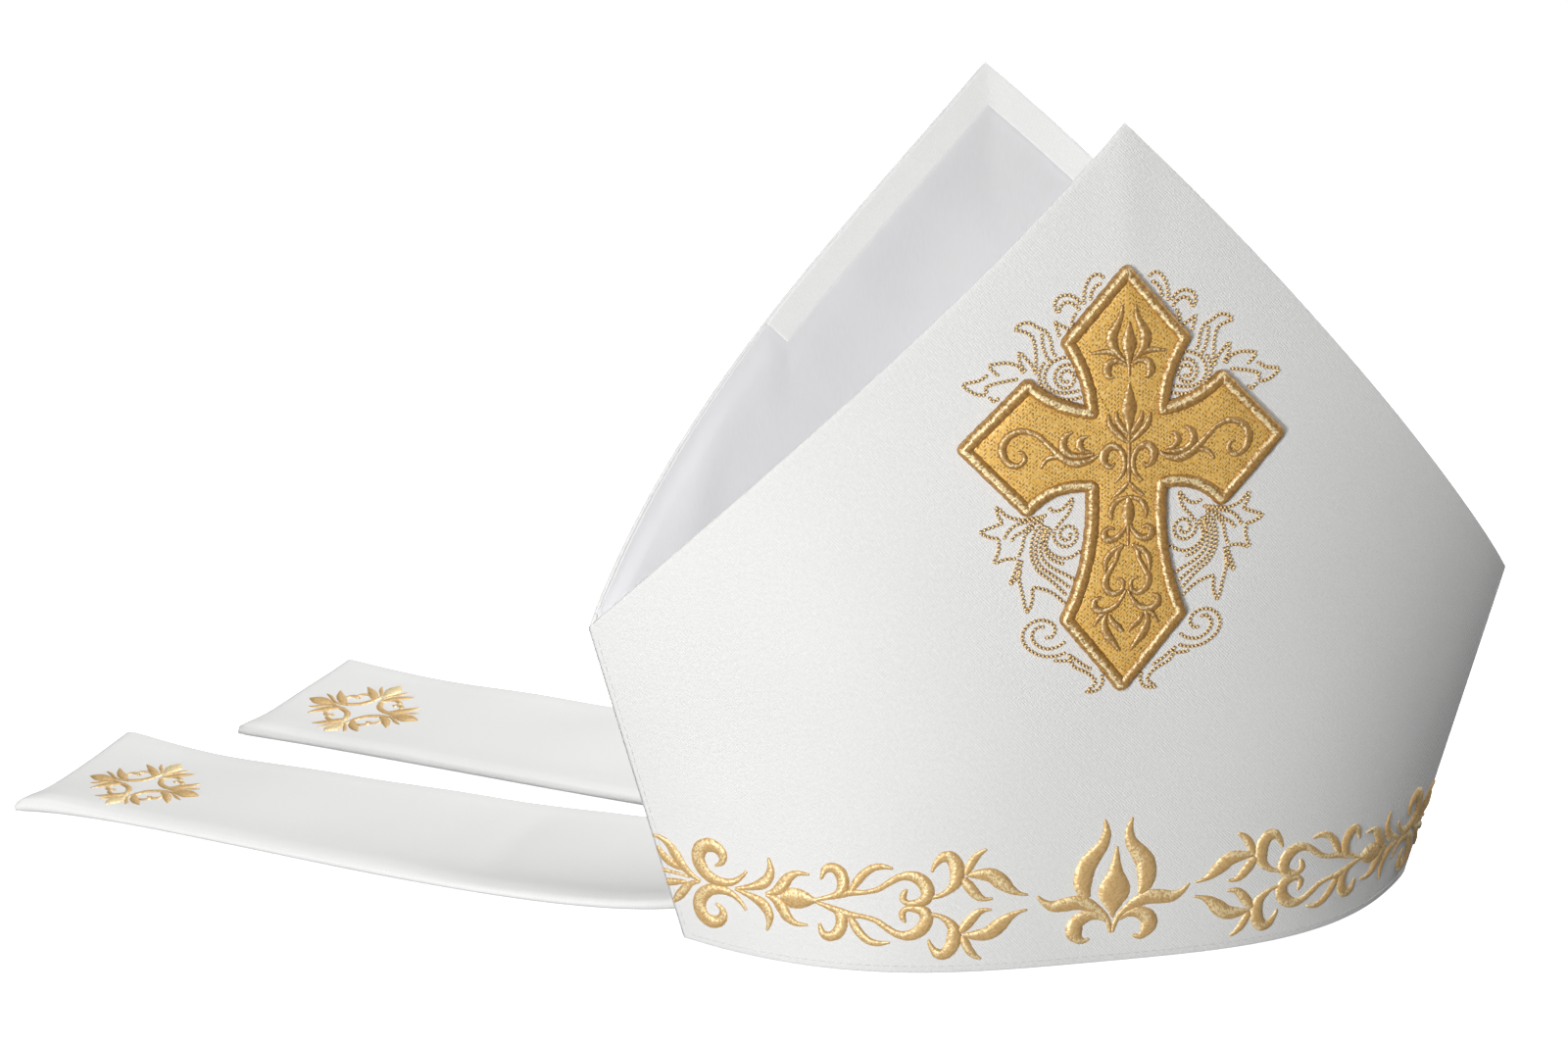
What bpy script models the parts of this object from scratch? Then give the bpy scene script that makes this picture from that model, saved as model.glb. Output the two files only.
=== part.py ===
"""A bishop mitre that stands open on its rim, with its two lappets laid out behind it.

Two stiff cloth panels, front and back, meet at the side seams and rise as two horns.
A facing is turned in along each horn, one lining hangs between the horns, a padded
cross sits on the front, and two lappets run from the back rim over the surface.

Metres, +Z up. The front faces -Y and the rim stands on z = 0. The sizes below are in millimetres,
with x and y measured from the middle of the rim, between the side seams. At the end
everything is moved so that the box round the whole object is centred over the origin.
"""

import math

import bmesh
import bpy
import numpy as np

MM = 0.001

# Outline of the two panels, in millimetres.
RIM_HALF_WIDTH = 134.0
SEAM_TOP_HALF_WIDTH = 167.0
SEAM_HEIGHT = 114.0
HORN_HEIGHT = 285.0

# Cross section: y = depth * (1 - |x / half width| ** fullness). Depth and fullness
# change evenly from the rim to the horn tip, and belly is the extra depth half way up.
FULLNESS_AT_RIM = 3.3
FULLNESS_AT_TIP = 1.5
DEPTH = {
    "front": {"rim": 54.0, "tip": 46.0, "belly": 11.0, "faces": -1},
    "back": {"rim": 46.0, "tip": 100.0, "belly": 1.0, "faces": 1},
}

# How far each horn edge bows out from a straight line, and how far that bow is moved
# down (plus) or up (minus) the edge.
EDGE_BOW = {
    ("front", -1): {"bow": 5.2, "skew": 3.6},
    ("front", 1): {"bow": 2.9, "skew": -1.5},
    ("back", -1): {"bow": 7.8, "skew": 2.6},
    ("back", 1): {"bow": 4.0, "skew": -2.7},
}

PANEL_THICKNESS = 1.6
LINING_THICKNESS = 1.0
FACING_THICKNESS = 1.0
SEAM_GAP = 0.3
LAYER_GAP = 0.3
EDGE_TABLE_POINTS = 401

# The facing runs down each horn edge to this half width. Below it the lining comes
# out to the edge.
FACING_WIDTH = 9.0
FACING_END_HALF_WIDTH = 96.0
FACING_END_SLACK = 0.6
EDGE_STEP_BACK = 0.5

# The lining follows the horns down and then leaves them for a rounded valley.
LINING_END_HALF_WIDTH = 158.0
VALLEY_HEIGHT_MIDDLE = 100.0
VALLEY_HEIGHT_ENDS = 111.0
VALLEY_SHARE = 0.4

# Lappets. Each long edge leaves the back rim at root_x, drops down the wall, turns on
# a small radius on to the surface and follows one Bezier curve to its end corner.
LAPPET_THICKNESS = 2.6
LAPPET_ROOT_HEIGHT = 10.0
LAPPET_FOOT_RADIUS = 6.5
LAPPET_EDGES = {
    "lappet_left": {
        "near": {"root_x": -102.0, "leave": (-165, 12), "arrive": (-300, 165), "end": (-349, 182)},
        "far": {"root_x": -20.0, "leave": (-121, 107), "arrive": (-228, 176), "end": (-300, 250)},
    },
    "lappet_right": {
        "near": {"root_x": 20.0, "leave": (-77, 86), "arrive": (-166, 199), "end": (-258, 252)},
        "far": {"root_x": 102.0, "leave": (42, 146), "arrive": (-115, 232), "end": (-204, 327)},
    },
}
# The far corner of each end curls up by this much over this share of the length.
LAPPET_CORNER_LIFT = 4.0
LAPPET_LIFT_SHARE = 0.16

# The cross: corners of its outline, one half from the top point down. Each row gives
# the corner and how far the side that leads to it bends towards the middle.
CROSS_HALF = (
    {"x": 0.0, "z": 239.5, "bend": 0.0},
    {"x": 21.5, "z": 215.8, "bend": 0.0},
    {"x": 14.3, "z": 195.5, "bend": 1.5},
    {"x": 32.7, "z": 203.9, "bend": 1.6},
    {"x": 55.7, "z": 182.6, "bend": 0.0},
    {"x": 32.6, "z": 160.0, "bend": 0.0},
    {"x": 14.5, "z": 167.5, "bend": 2.9},
    {"x": 21.4, "z": 124.5, "bend": 2.8},
    {"x": 0.0, "z": 99.5, "bend": 0.0},
)
CROSS_FIELD_THICKNESS = 1.4
CROSS_BORDER_WIDTH = 4.4

WHITE_CLOTH = (0.90, 0.90, 0.89, 1.0)
SATIN = (0.74, 0.74, 0.77, 1.0)
GOLD = (0.60, 0.36, 0.11, 1.0)
PALE_GOLD = (0.72, 0.48, 0.18, 1.0)


# ---- the surface that everything is laid on ------------------------------------


def half_width(z):
    """Half the width between the side seams at height z."""
    return RIM_HALF_WIDTH + (SEAM_TOP_HALF_WIDTH - RIM_HALF_WIDTH) * z / SEAM_HEIGHT


def wall_y(side, x, z):
    """The y of the outer face of one panel over x and z."""
    shape = DEPTH[side]
    rise = z / HORN_HEIGHT
    depth = shape["rim"] + (shape["tip"] - shape["rim"]) * rise
    depth = depth + shape["belly"] * 4.0 * rise * (1.0 - rise)
    fullness = FULLNESS_AT_RIM + (FULLNESS_AT_TIP - FULLNESS_AT_RIM) * rise
    share = np.abs(x) / half_width(z)
    return shape["faces"] * depth * (1.0 - share**fullness)


def wall_normal(side, x, z):
    """The unit normal of the outer face, pointing out of the mitre."""
    step = 0.5
    slope_x = (wall_y(side, x + step, z) - wall_y(side, x - step, z)) / (2 * step)
    slope_z = (wall_y(side, x, z + step) - wall_y(side, x, z - step)) / (2 * step)
    normal = np.stack([-slope_x, np.ones_like(slope_x), -slope_z], axis=-1)
    normal = normal / np.linalg.norm(normal, axis=-1, keepdims=True)
    return DEPTH[side]["faces"] * normal


def on_wall(side, x, z, out=0.0):
    """Points over x and z, moved out of the mitre by out (inwards if it is negative)."""
    x = np.asarray(x, float)
    z = np.asarray(z, float)
    face = np.stack([x, wall_y(side, x, z), z], axis=-1)
    return face + np.asarray(out)[..., None] * wall_normal(side, x, z)


def horn_edge(side, share):
    """x and z of the horn edge. share runs from -1, the left seam top, to 1, the right."""
    share = np.asarray(share, float)
    rise = 1.0 - np.abs(share)
    hand = np.where(share < 0, -1, 1)
    bow = np.where(hand < 0, EDGE_BOW[side, -1]["bow"], EDGE_BOW[side, 1]["bow"])
    skew = np.where(hand < 0, EDGE_BOW[side, -1]["skew"], EDGE_BOW[side, 1]["skew"])
    arch = 4.0 * rise * (1.0 - rise)
    out = SEAM_TOP_HALF_WIDTH * (1.0 - rise) + arch * (bow + 2.0 * skew * (1.0 - 2.0 * rise))
    return hand * out, SEAM_HEIGHT + (HORN_HEIGHT - SEAM_HEIGHT) * rise


def edge_height(side, x):
    """The height of the horn edge over x."""
    table_x, table_z = horn_edge(side, np.linspace(-1.0, 1.0, EDGE_TABLE_POINTS))
    return np.interp(x, table_x, table_z)


# ---- scene helpers --------------------------------------------------------------


def clear_scene():
    for old in list(bpy.data.objects):
        bpy.data.objects.remove(old, do_unlink=True)


def new_collection(name):
    collection = bpy.data.collections.new(name)
    bpy.context.scene.collection.children.link(collection)
    return collection


def plain_material(name, colour, roughness, metallic=0.0):
    material = bpy.data.materials.new(name)
    material.use_nodes = True
    shader = material.node_tree.nodes["Principled BSDF"]
    shader.inputs["Base Color"].default_value = colour
    shader.inputs["Roughness"].default_value = roughness
    shader.inputs["Metallic"].default_value = metallic
    return material


def sheet_object(name, points, collection, material):
    """A grid of points (rows, columns, 3) in millimetres as an open sheet of quads."""
    rows, columns = points.shape[:2]
    model = bmesh.new()
    bmesh.ops.create_grid(model, x_segments=columns - 1, y_segments=rows - 1, size=1.0)
    model.verts.ensure_lookup_table()
    # create_grid numbers its vertices row by row, as the points are.
    for vert, point in zip(model.verts, points.reshape(-1, 3)):
        vert.co = point * MM
    mesh = bpy.data.meshes.new(name)
    model.to_mesh(mesh)
    model.free()
    made = bpy.data.objects.new(name, mesh)
    collection.objects.link(made)
    mesh.materials.append(material)
    return made


def thicken(made, thickness, offset):
    """Solidify a sheet. offset -1 grows it behind its faces, 1 in front of them."""
    shell = made.modifiers.new("thickness", "SOLIDIFY")
    shell.thickness = thickness * MM
    shell.offset = offset
    shell.use_even_offset = True
    return shell


def cutter_box(name, low, high, collection):
    """A box between two corners, in millimetres, that Booleans cut with."""
    model = bmesh.new()
    bmesh.ops.create_cube(model, size=1.0)
    low = np.array(low)
    high = np.array(high)
    for vert in model.verts:
        vert.co = ((low + high) / 2 + np.array(vert.co) * (high - low)) * MM
    mesh = bpy.data.meshes.new(name)
    model.to_mesh(mesh)
    model.free()
    box = bpy.data.objects.new(name, mesh)
    box.hide_render = True
    box.display_type = "WIRE"
    collection.objects.link(box)
    return box


def cut(made, cutter):
    boolean = made.modifiers.new("cut by " + cutter.name, "BOOLEAN")
    boolean.operation = "DIFFERENCE"
    boolean.solver = "EXACT"
    boolean.object = cutter


# ---- the panels, facings and lining ---------------------------------------------

PANEL_COLUMNS = 28
PANEL_ROWS = 12
BELOW_FLOOR = 4.0
CUTTER_REACH = 60.0
FACING_COLUMNS = 22
LINING_COLUMNS_OUTER = 6
LINING_COLUMNS_INNER = 8
LINING_ROWS_ON_WALL = 4
LINING_ROWS_IN_TURN = 5


def panel(side, collection, material, cutters):
    """One wall with its horn: columns run from below the rim up to the horn edge."""
    share = np.linspace(-1.0, 1.0, PANEL_COLUMNS + 1)
    top_x, top_z = horn_edge(side, share)
    low_x = share * half_width(-BELOW_FLOOR)
    rise = np.linspace(0.0, 1.0, PANEL_ROWS + 1)[:, None]
    z = -BELOW_FLOOR + (top_z + BELOW_FLOOR) * rise
    x = low_x + (top_x - low_x) * (z + BELOW_FLOOR) / (top_z + BELOW_FLOOR)
    made = sheet_object(side + "_panel", on_wall(side, x, z), collection, material)
    thicken(made, PANEL_THICKNESS, DEPTH[side]["faces"])
    for cutter in cutters:
        cut(made, cutter)
    return made


def facing(side, collection, material):
    """The band turned in along a horn edge, laid inside the panel."""
    reach = horn_share(side, FACING_END_HALF_WIDTH)
    half = FACING_COLUMNS // 2 + 1
    share = np.concatenate([np.linspace(reach[0], 0.0, half), np.linspace(0.0, reach[1], half)[1:]])
    top_x, top_z = horn_edge(side, share)
    down = facing_drop(side)
    z = top_z - EDGE_STEP_BACK - down * np.linspace(1.0, 0.0, 3)[:, None]
    x = np.broadcast_to(top_x, z.shape)
    points = on_wall(side, x, z, -(PANEL_THICKNESS + LAYER_GAP))
    made = sheet_object(side + "_facing", points, collection, material)
    thicken(made, FACING_THICKNESS, DEPTH[side]["faces"])
    return made


def facing_drop(side):
    """The facing's width measured straight down, on an edge that slopes."""
    slope = (HORN_HEIGHT - SEAM_HEIGHT) / SEAM_TOP_HALF_WIDTH
    return FACING_WIDTH * math.hypot(1.0, slope)


def horn_share(side, x):
    """The shares along the horn edge at -x and x."""
    table = np.linspace(-1.0, 1.0, EDGE_TABLE_POINTS)
    table_x = horn_edge(side, table)[0]
    return float(np.interp(-x, table_x, table)), float(np.interp(x, table_x, table))


def lining_top(side, x):
    """Where the lining ends on a horn: under the facing, or at the edge beyond it."""
    beyond = edge_height(side, x) - EDGE_STEP_BACK
    under = beyond - facing_drop(side) - FACING_END_SLACK
    return np.where(np.abs(x) > FACING_END_HALF_WIDTH + FACING_END_SLACK, beyond, under)


def lining(collection, material):
    """One sheet from the front horn down through the valley and up the back horn."""
    step = FACING_END_HALF_WIDTH + FACING_END_SLACK
    half_step = FACING_END_SLACK / 2
    outer = np.linspace(LINING_END_HALF_WIDTH, step + half_step, LINING_COLUMNS_OUTER)
    inner = np.linspace(step - half_step, 0.0, LINING_COLUMNS_INNER)
    half = np.concatenate([outer, inner])
    x = np.concatenate([-half, half[::-1][1:]])
    lift = (x / LINING_END_HALF_WIDTH) ** 2
    valley = VALLEY_HEIGHT_MIDDLE + (VALLEY_HEIGHT_ENDS - VALLEY_HEIGHT_MIDDLE) * lift
    upper = np.linspace(1.0, 0.0, LINING_ROWS_ON_WALL + 1)[:-1, None]
    turn = np.linspace(0.0, math.pi / 2, LINING_ROWS_IN_TURN + 1)[:, None]
    hold = np.concatenate([np.ones_like(upper), np.cos(turn)])
    halves = {}
    for side in ("front", "back"):
        top = lining_top(side, x)
        leave = valley + VALLEY_SHARE * (edge_height(side, x) - valley)
        z_on_wall = leave + (top - leave) * upper
        z_in_turn = leave - (leave - valley) * np.sin(turn)
        z = np.concatenate([z_on_wall, z_in_turn])
        points = on_wall(side, np.broadcast_to(x, z.shape), z, -(PANEL_THICKNESS + LAYER_GAP))
        points[..., 1] *= hold
        halves[side] = points
    points = np.concatenate([halves["front"], halves["back"][::-1][1:]])
    made = sheet_object("lining", points, collection, material)
    thicken(made, LINING_THICKNESS, 1.0)
    return made


# ---- the lappets ----------------------------------------------------------------

LAPPET_COLUMNS = 6
LAPPET_ROWS = 18
FOOT_ROWS = 4


def rim_normal(x):
    """The unit normal of the back rim in plan, pointing away from the mitre."""
    normal = wall_normal("back", x, np.zeros_like(x))[:, :2]
    return normal / np.linalg.norm(normal, axis=1, keepdims=True)


def lappet(name, collection, material):
    """A strip from the back rim down the wall and over the surface to its end."""
    near = LAPPET_EDGES[name]["near"]
    far = LAPPET_EDGES[name]["far"]
    across = np.linspace(0.0, 1.0, LAPPET_COLUMNS + 1)
    root_x = near["root_x"] + (far["root_x"] - near["root_x"]) * across
    rows = []
    for turn in np.linspace(0.0, math.pi / 2, FOOT_ROWS + 1):
        z = LAPPET_FOOT_RADIUS * (1.0 - math.sin(turn))
        out = LAYER_GAP + LAPPET_FOOT_RADIUS * (1.0 - math.cos(turn))
        rows.append(foot_row(root_x, out, z))
    top = foot_row(root_x, LAYER_GAP, LAPPET_ROOT_HEIGHT)
    foot = rows[-1][:, :2]
    corners = {}
    for key in ("leave", "arrive", "end"):
        low = np.array(near[key], float)
        high = np.array(far[key], float)
        corners[key] = low + (high - low) * across[:, None]
    for t in np.linspace(0.0, 1.0, LAPPET_ROWS + 1)[1:]:
        plan = bezier(foot, corners["leave"], corners["arrive"], corners["end"], t)
        rows.append(np.column_stack([plan, corner_lift(across, t)]))
    made = sheet_object(name, np.stack([top, *rows]), collection, material)
    thicken(made, LAPPET_THICKNESS, 1.0)
    return made


def foot_row(root_x, out, z):
    """A row of the lappet at height z, out from the wall of the back rim."""
    wall = on_wall("back", root_x, np.full_like(root_x, z))
    plan = wall[:, :2] + out * rim_normal(root_x)
    return np.column_stack([plan, np.full_like(root_x, z)])


def bezier(start, leave, arrive, end, t):
    back = 1.0 - t
    return start * back**3 + 3 * leave * t * back**2 + 3 * arrive * t**2 * back + end * t**3


def corner_lift(across, t):
    """How far the strip is lifted towards the far corner of its end."""
    along = max(0.0, (t - 1.0 + LAPPET_LIFT_SHARE) / LAPPET_LIFT_SHARE)
    return LAPPET_CORNER_LIFT * along**2 * across**2


# ---- the cross ------------------------------------------------------------------

CROSS_STEP = 3.5
CROSS_SLAB_COLUMNS = 8
CROSS_SLAB_ROWS = 8
PRISM_REACH = 120.0


def cross_outline(inset):
    """The closed outline of the cross in x and z, moved inwards by inset."""
    half = [np.array([row["x"], row["z"]]) for row in CROSS_HALF]
    points = [half[0]]
    for start, end, row in zip(half[:-1], half[1:], CROSS_HALF[1:]):
        points.extend(bent_side(start, end, row["bend"]))
    right = np.array(points)
    left = right[-2:0:-1] * np.array([-1.0, 1.0])
    outline = np.concatenate([right, left])
    before = outline - np.roll(outline, 1, axis=0)
    after = np.roll(outline, -1, axis=0) - outline
    normal_before = side_normal(before)
    normal_after = side_normal(after)
    middle = normal_before + normal_after
    reach = 2.0 / np.sum(middle * middle, axis=1, keepdims=True)
    moved = outline + inset * middle * reach
    return moved[distance_to(outline, moved) > inset - 0.02]


def distance_to(outline, points):
    """How far each point lies from the closed outline."""
    step = np.roll(outline, -1, axis=0) - outline
    gap = points[:, None] - outline[None]
    t = np.sum(gap * step, axis=2) / np.sum(step * step, axis=1)
    nearest = outline + np.clip(t, 0.0, 1.0)[..., None] * step
    return np.linalg.norm(points[:, None] - nearest, axis=2).min(axis=1)


def side_normal(steps):
    """Unit normals of steps along the outline, pointing into the cross."""
    turned = np.column_stack([steps[:, 1], -steps[:, 0]])
    return turned / np.linalg.norm(turned, axis=1, keepdims=True)


def bent_side(start, end, bend):
    """Points after start up to end on a side that bends by bend at its middle."""
    step = end - start
    length = np.linalg.norm(step)
    count = max(2, round(length / CROSS_STEP))
    t = np.linspace(0.0, 1.0, count + 1)[1:, None]
    towards = np.array([step[1], -step[0]]) / length
    return list(start + step * t + towards * bend * 4.0 * t * (1.0 - t))


def cross_field(collection, helpers, material):
    """A slab that follows the front, cut to the outline of the cross."""
    corners = np.array([[row["x"], row["z"]] for row in CROSS_HALF])
    x = np.linspace(-corners[:, 0].max(), corners[:, 0].max(), CROSS_SLAB_COLUMNS + 1)
    z = np.linspace(corners[:, 1].min(), corners[:, 1].max(), CROSS_SLAB_ROWS + 1)[:, None]
    x, z = np.broadcast_arrays(x, z)
    made = sheet_object("cross_field", on_wall("front", x, z, LAYER_GAP), collection, material)
    thicken(made, CROSS_FIELD_THICKNESS, 1.0)
    outline = cross_outline(CROSS_BORDER_WIDTH + LAYER_GAP)
    boolean = made.modifiers.new("cut to the cross", "BOOLEAN")
    boolean.operation = "INTERSECT"
    boolean.solver = "EXACT"
    boolean.object = cross_prism(outline, helpers)
    return made


def cross_prism(outline, helpers):
    """The outline as a prism along Y that reaches through the front."""
    model = bmesh.new()
    low = [model.verts.new((x * MM, -PRISM_REACH * MM, z * MM)) for x, z in outline]
    face = model.faces.new(low)
    swept = bmesh.ops.extrude_face_region(model, geom=[face], use_keep_orig=True)
    moved = [item for item in swept["geom"] if isinstance(item, bmesh.types.BMVert)]
    bmesh.ops.translate(model, verts=moved, vec=(0.0, PRISM_REACH * MM, 0.0))
    bmesh.ops.recalc_face_normals(model, faces=model.faces[:])
    mesh = bpy.data.meshes.new("cross_prism")
    model.to_mesh(mesh)
    model.free()
    prism = bpy.data.objects.new("cross_prism", mesh)
    prism.hide_render = True
    prism.display_type = "WIRE"
    helpers.objects.link(prism)
    return prism


def cross_border(collection, material):
    """A roll along the outline, laid on the front."""
    radius = CROSS_BORDER_WIDTH / 2
    outline = cross_outline(radius)
    route = on_wall("front", outline[:, 0], outline[:, 1], radius + LAYER_GAP)
    data = bpy.data.curves.new("cross_border", "CURVE")
    data.dimensions = "3D"
    data.bevel_depth = radius * MM
    data.bevel_resolution = 2
    spline = data.splines.new("POLY")
    spline.points.add(len(route) - 1)
    for point, place in zip(spline.points, route):
        point.co = (*(place * MM), 1.0)
    spline.use_cyclic_u = True
    made = bpy.data.objects.new("cross_border", data)
    collection.objects.link(made)
    data.materials.append(material)
    return made


# ---- placing --------------------------------------------------------------------


def centre_over_origin(mitre, helpers):
    """Hang every piece on one empty, moved so that the whole box is centred over the origin."""
    root = bpy.data.objects.new("mitre_root", None)
    mitre.objects.link(root)
    bpy.context.view_layer.update()
    graph = bpy.context.evaluated_depsgraph_get()
    low = np.full(3, np.inf)
    high = np.full(3, -np.inf)
    for piece in mitre.objects:
        if piece is root:
            continue
        points = evaluated_points(piece, graph)
        low = np.minimum(low, points.min(axis=0))
        high = np.maximum(high, points.max(axis=0))
    middle = (low + high) / 2
    root.location = (-middle[0], -middle[1], 0.0)
    for piece in [*mitre.objects, *helpers.objects]:
        if piece is not root:
            piece.parent = root


def evaluated_points(piece, graph):
    """The vertices of a piece with its modifiers applied."""
    evaluated = piece.evaluated_get(graph)
    mesh = evaluated.to_mesh()
    points = np.empty(len(mesh.vertices) * 3)
    mesh.vertices.foreach_get("co", points)
    evaluated.to_mesh_clear()
    return points.reshape(-1, 3)


# ---- main -----------------------------------------------------------------------


def main():
    clear_scene()
    mitre = new_collection("bishop mitre")
    helpers = new_collection("cutters")
    helpers.hide_render = True
    cloth = plain_material("white cloth", WHITE_CLOTH, 0.85)
    satin = plain_material("lining satin", SATIN, 0.55)
    gold = plain_material("gold thread", GOLD, 0.45, 0.2)
    pale = plain_material("pale gold thread", PALE_GOLD, 0.4, 0.2)

    across = SEAM_TOP_HALF_WIDTH + CUTTER_REACH
    up = HORN_HEIGHT + CUTTER_REACH
    half_gap = SEAM_GAP / 2
    far = DEPTH["back"]["tip"] + CUTTER_REACH
    under = cutter_box("under_rim", (-across, -far, -CUTTER_REACH), (across, far, 0), helpers)
    beyond = {
        "front": cutter_box(
            "beyond_front_seam", (-across, -half_gap, -CUTTER_REACH), (across, far, up), helpers
        ),
        "back": cutter_box(
            "beyond_back_seam", (-across, -far, -CUTTER_REACH), (across, half_gap, up), helpers
        ),
    }
    for side in ("front", "back"):
        panel(side, mitre, cloth, (beyond[side], under))
        facing(side, mitre, cloth)
    lining(mitre, satin)
    lappet("lappet_left", mitre, cloth)
    lappet("lappet_right", mitre, cloth)
    cross_field(mitre, helpers, gold)
    cross_border(mitre, pale)
    centre_over_origin(mitre, helpers)


main()
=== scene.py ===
"""A white bishop mitre with gold embroidery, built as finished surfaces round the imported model.

Every piece is worked out in millimetres in the mitre's own frame: the origin is the middle
of the rim, the front faces -Y and the rim stands on z = 0. shift() leads to the model.
"""

import math

import bpy
import mathutils
import numpy as np
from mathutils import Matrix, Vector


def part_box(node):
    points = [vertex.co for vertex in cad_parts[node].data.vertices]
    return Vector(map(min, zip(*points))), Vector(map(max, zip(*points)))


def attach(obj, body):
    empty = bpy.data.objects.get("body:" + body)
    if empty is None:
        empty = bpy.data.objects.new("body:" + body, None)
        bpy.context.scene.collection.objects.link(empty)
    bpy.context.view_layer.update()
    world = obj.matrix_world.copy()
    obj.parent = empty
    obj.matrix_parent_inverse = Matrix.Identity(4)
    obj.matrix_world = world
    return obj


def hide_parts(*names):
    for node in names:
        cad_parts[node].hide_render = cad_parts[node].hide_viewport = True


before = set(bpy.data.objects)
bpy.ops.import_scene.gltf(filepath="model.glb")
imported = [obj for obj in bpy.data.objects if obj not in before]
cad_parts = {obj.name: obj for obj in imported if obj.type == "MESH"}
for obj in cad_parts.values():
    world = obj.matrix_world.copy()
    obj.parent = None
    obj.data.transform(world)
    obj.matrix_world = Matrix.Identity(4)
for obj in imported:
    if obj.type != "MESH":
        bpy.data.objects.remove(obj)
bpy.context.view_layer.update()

bl_info = {
    "name": "Bishop mitre",
    "version": (1, 0, 0),
    "blender": (4, 5, 0),
    "location": "3D View > Sidebar > Mitre",
    "description": "Builds an embroidered bishop mitre standing on its rim",
    "category": "Add Mesh",
}

MM = 0.001

# ---- the shape that every piece is laid on ----

RIM_HALF_WIDTH = 134.0
SEAM_TOP_HALF_WIDTH = 167.0
SEAM_HEIGHT = 114.0
HORN_HEIGHT = 285.0
FULLNESS_AT_RIM = 3.3
FULLNESS_AT_TIP = 1.5
DEPTH = {
    "front": {"rim": 54.0, "tip": 46.0, "belly": 11.0, "faces": -1},
    "back": {"rim": 46.0, "tip": 100.0, "belly": 1.0, "faces": 1},
}
EDGE_BOW = {
    ("front", -1): {"bow": 5.2, "skew": 3.6},
    ("front", 1): {"bow": 2.9, "skew": -1.5},
    ("back", -1): {"bow": 7.8, "skew": 2.6},
    ("back", 1): {"bow": 4.0, "skew": -2.7},
}
SEAM_GAP = 0.3
PANEL_OFF_SEAM_PLANE = 0.06
PANEL_THICKNESS = 1.6
FACING_THICKNESS = 1.0
LINING_THICKNESS = 1.0
LAYER_GAP = 0.3
BELOW_HORN_EDGE = 0.4
FACING_WIDTH = 10.0
FACING_END_HALF_WIDTH = 90.0
FACING_END_CUT = 7.7
FACING_CUT_RUN = 30.0
LINING_END_HALF_WIDTH = 158.0
LINING_REACH = 164.2
LINING_GAP = 0.12
LINING_END_THINNING = {"most": 0.6, "starts": 7.0, "run": 6.0}
# Depths under the horn edge over which painted light fades in on the lining.
LINING_PAINTED_LIGHT_DEPTH = {"none": 27.0, "full": 3.0}
VALLEY_HEIGHT_MIDDLE = 100.0
VALLEY_HEIGHT_ENDS = 111.0
VALLEY_SHARE = 0.4
# The cloth swells out of the plain wall in two slow waves and a crease under the tip.
SLOW_WAVES = (
    {"height": 0.22, "per_x": 1 / 31.0, "per_z": 1 / 47.0, "offset": 0.0},
    {"height": 0.18, "per_x": -1 / 60.0, "per_z": 1 / 23.0, "offset": 1.3},
)
CREASE = {"height": 0.5, "width": 7.0, "starts": 205.0, "run": 60.0}
LEVEL_BY_SEAM = 0.12

# Lappets: the two long edges of each, from the back rim to the end, in plan.
LAPPET_THICKNESS = 2.6
LAPPET_ROOT_HEIGHT = 10.0
LAPPET_FOOT_RADIUS = 6.5
LAPPET_EDGES = {
    "left": {
        "near": {"root_x": -102.0, "leave": (-165, -8), "arrive": (-300, 173), "end": (-350, 184)},
        "far": {"root_x": -20.0, "leave": (-121, 107), "arrive": (-228, 187), "end": (-303.5, 254)},
    },
    "right": {
        "near": {"root_x": 20.0, "leave": (-77, 80), "arrive": (-164, 182), "end": (-258.5, 256)},
        "far": {"root_x": 102.0, "leave": (42, 146), "arrive": (-115, 246), "end": (-205, 331)},
    },
}
LAPPET_CORNER_LIFT = 3.0
LAPPET_LIFT_SHARE = 0.16

# The cross: corners of one half of its outline from the top point down, as x, z and the
# bend of the side that leads to each.
CROSS_HALF = (
    (0.0, 240.8, 0.0), (22.7, 215.8, 0.0), (14.4, 195.5, 1.5), (33.2, 205.2, 1.6), (57.2, 182.2, 0.0),
    (33.3, 158.7, 0.0), (13.9, 167.0, 2.9), (22.2, 124.5, 2.8), (0.0, 97.9, 0.0),
)
CROSS_MIDDLE = (-0.6, 181.0)
CROSS_BORDER_WIDTH = 4.4

# ---- embroidery: strokes of satin stitch ----
# Rows are away, up, width: millimetres from the middle line, over the rim or over the
# scroll's own middle line, and across the stroke. A stroke runs smoothly through its rows.

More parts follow.
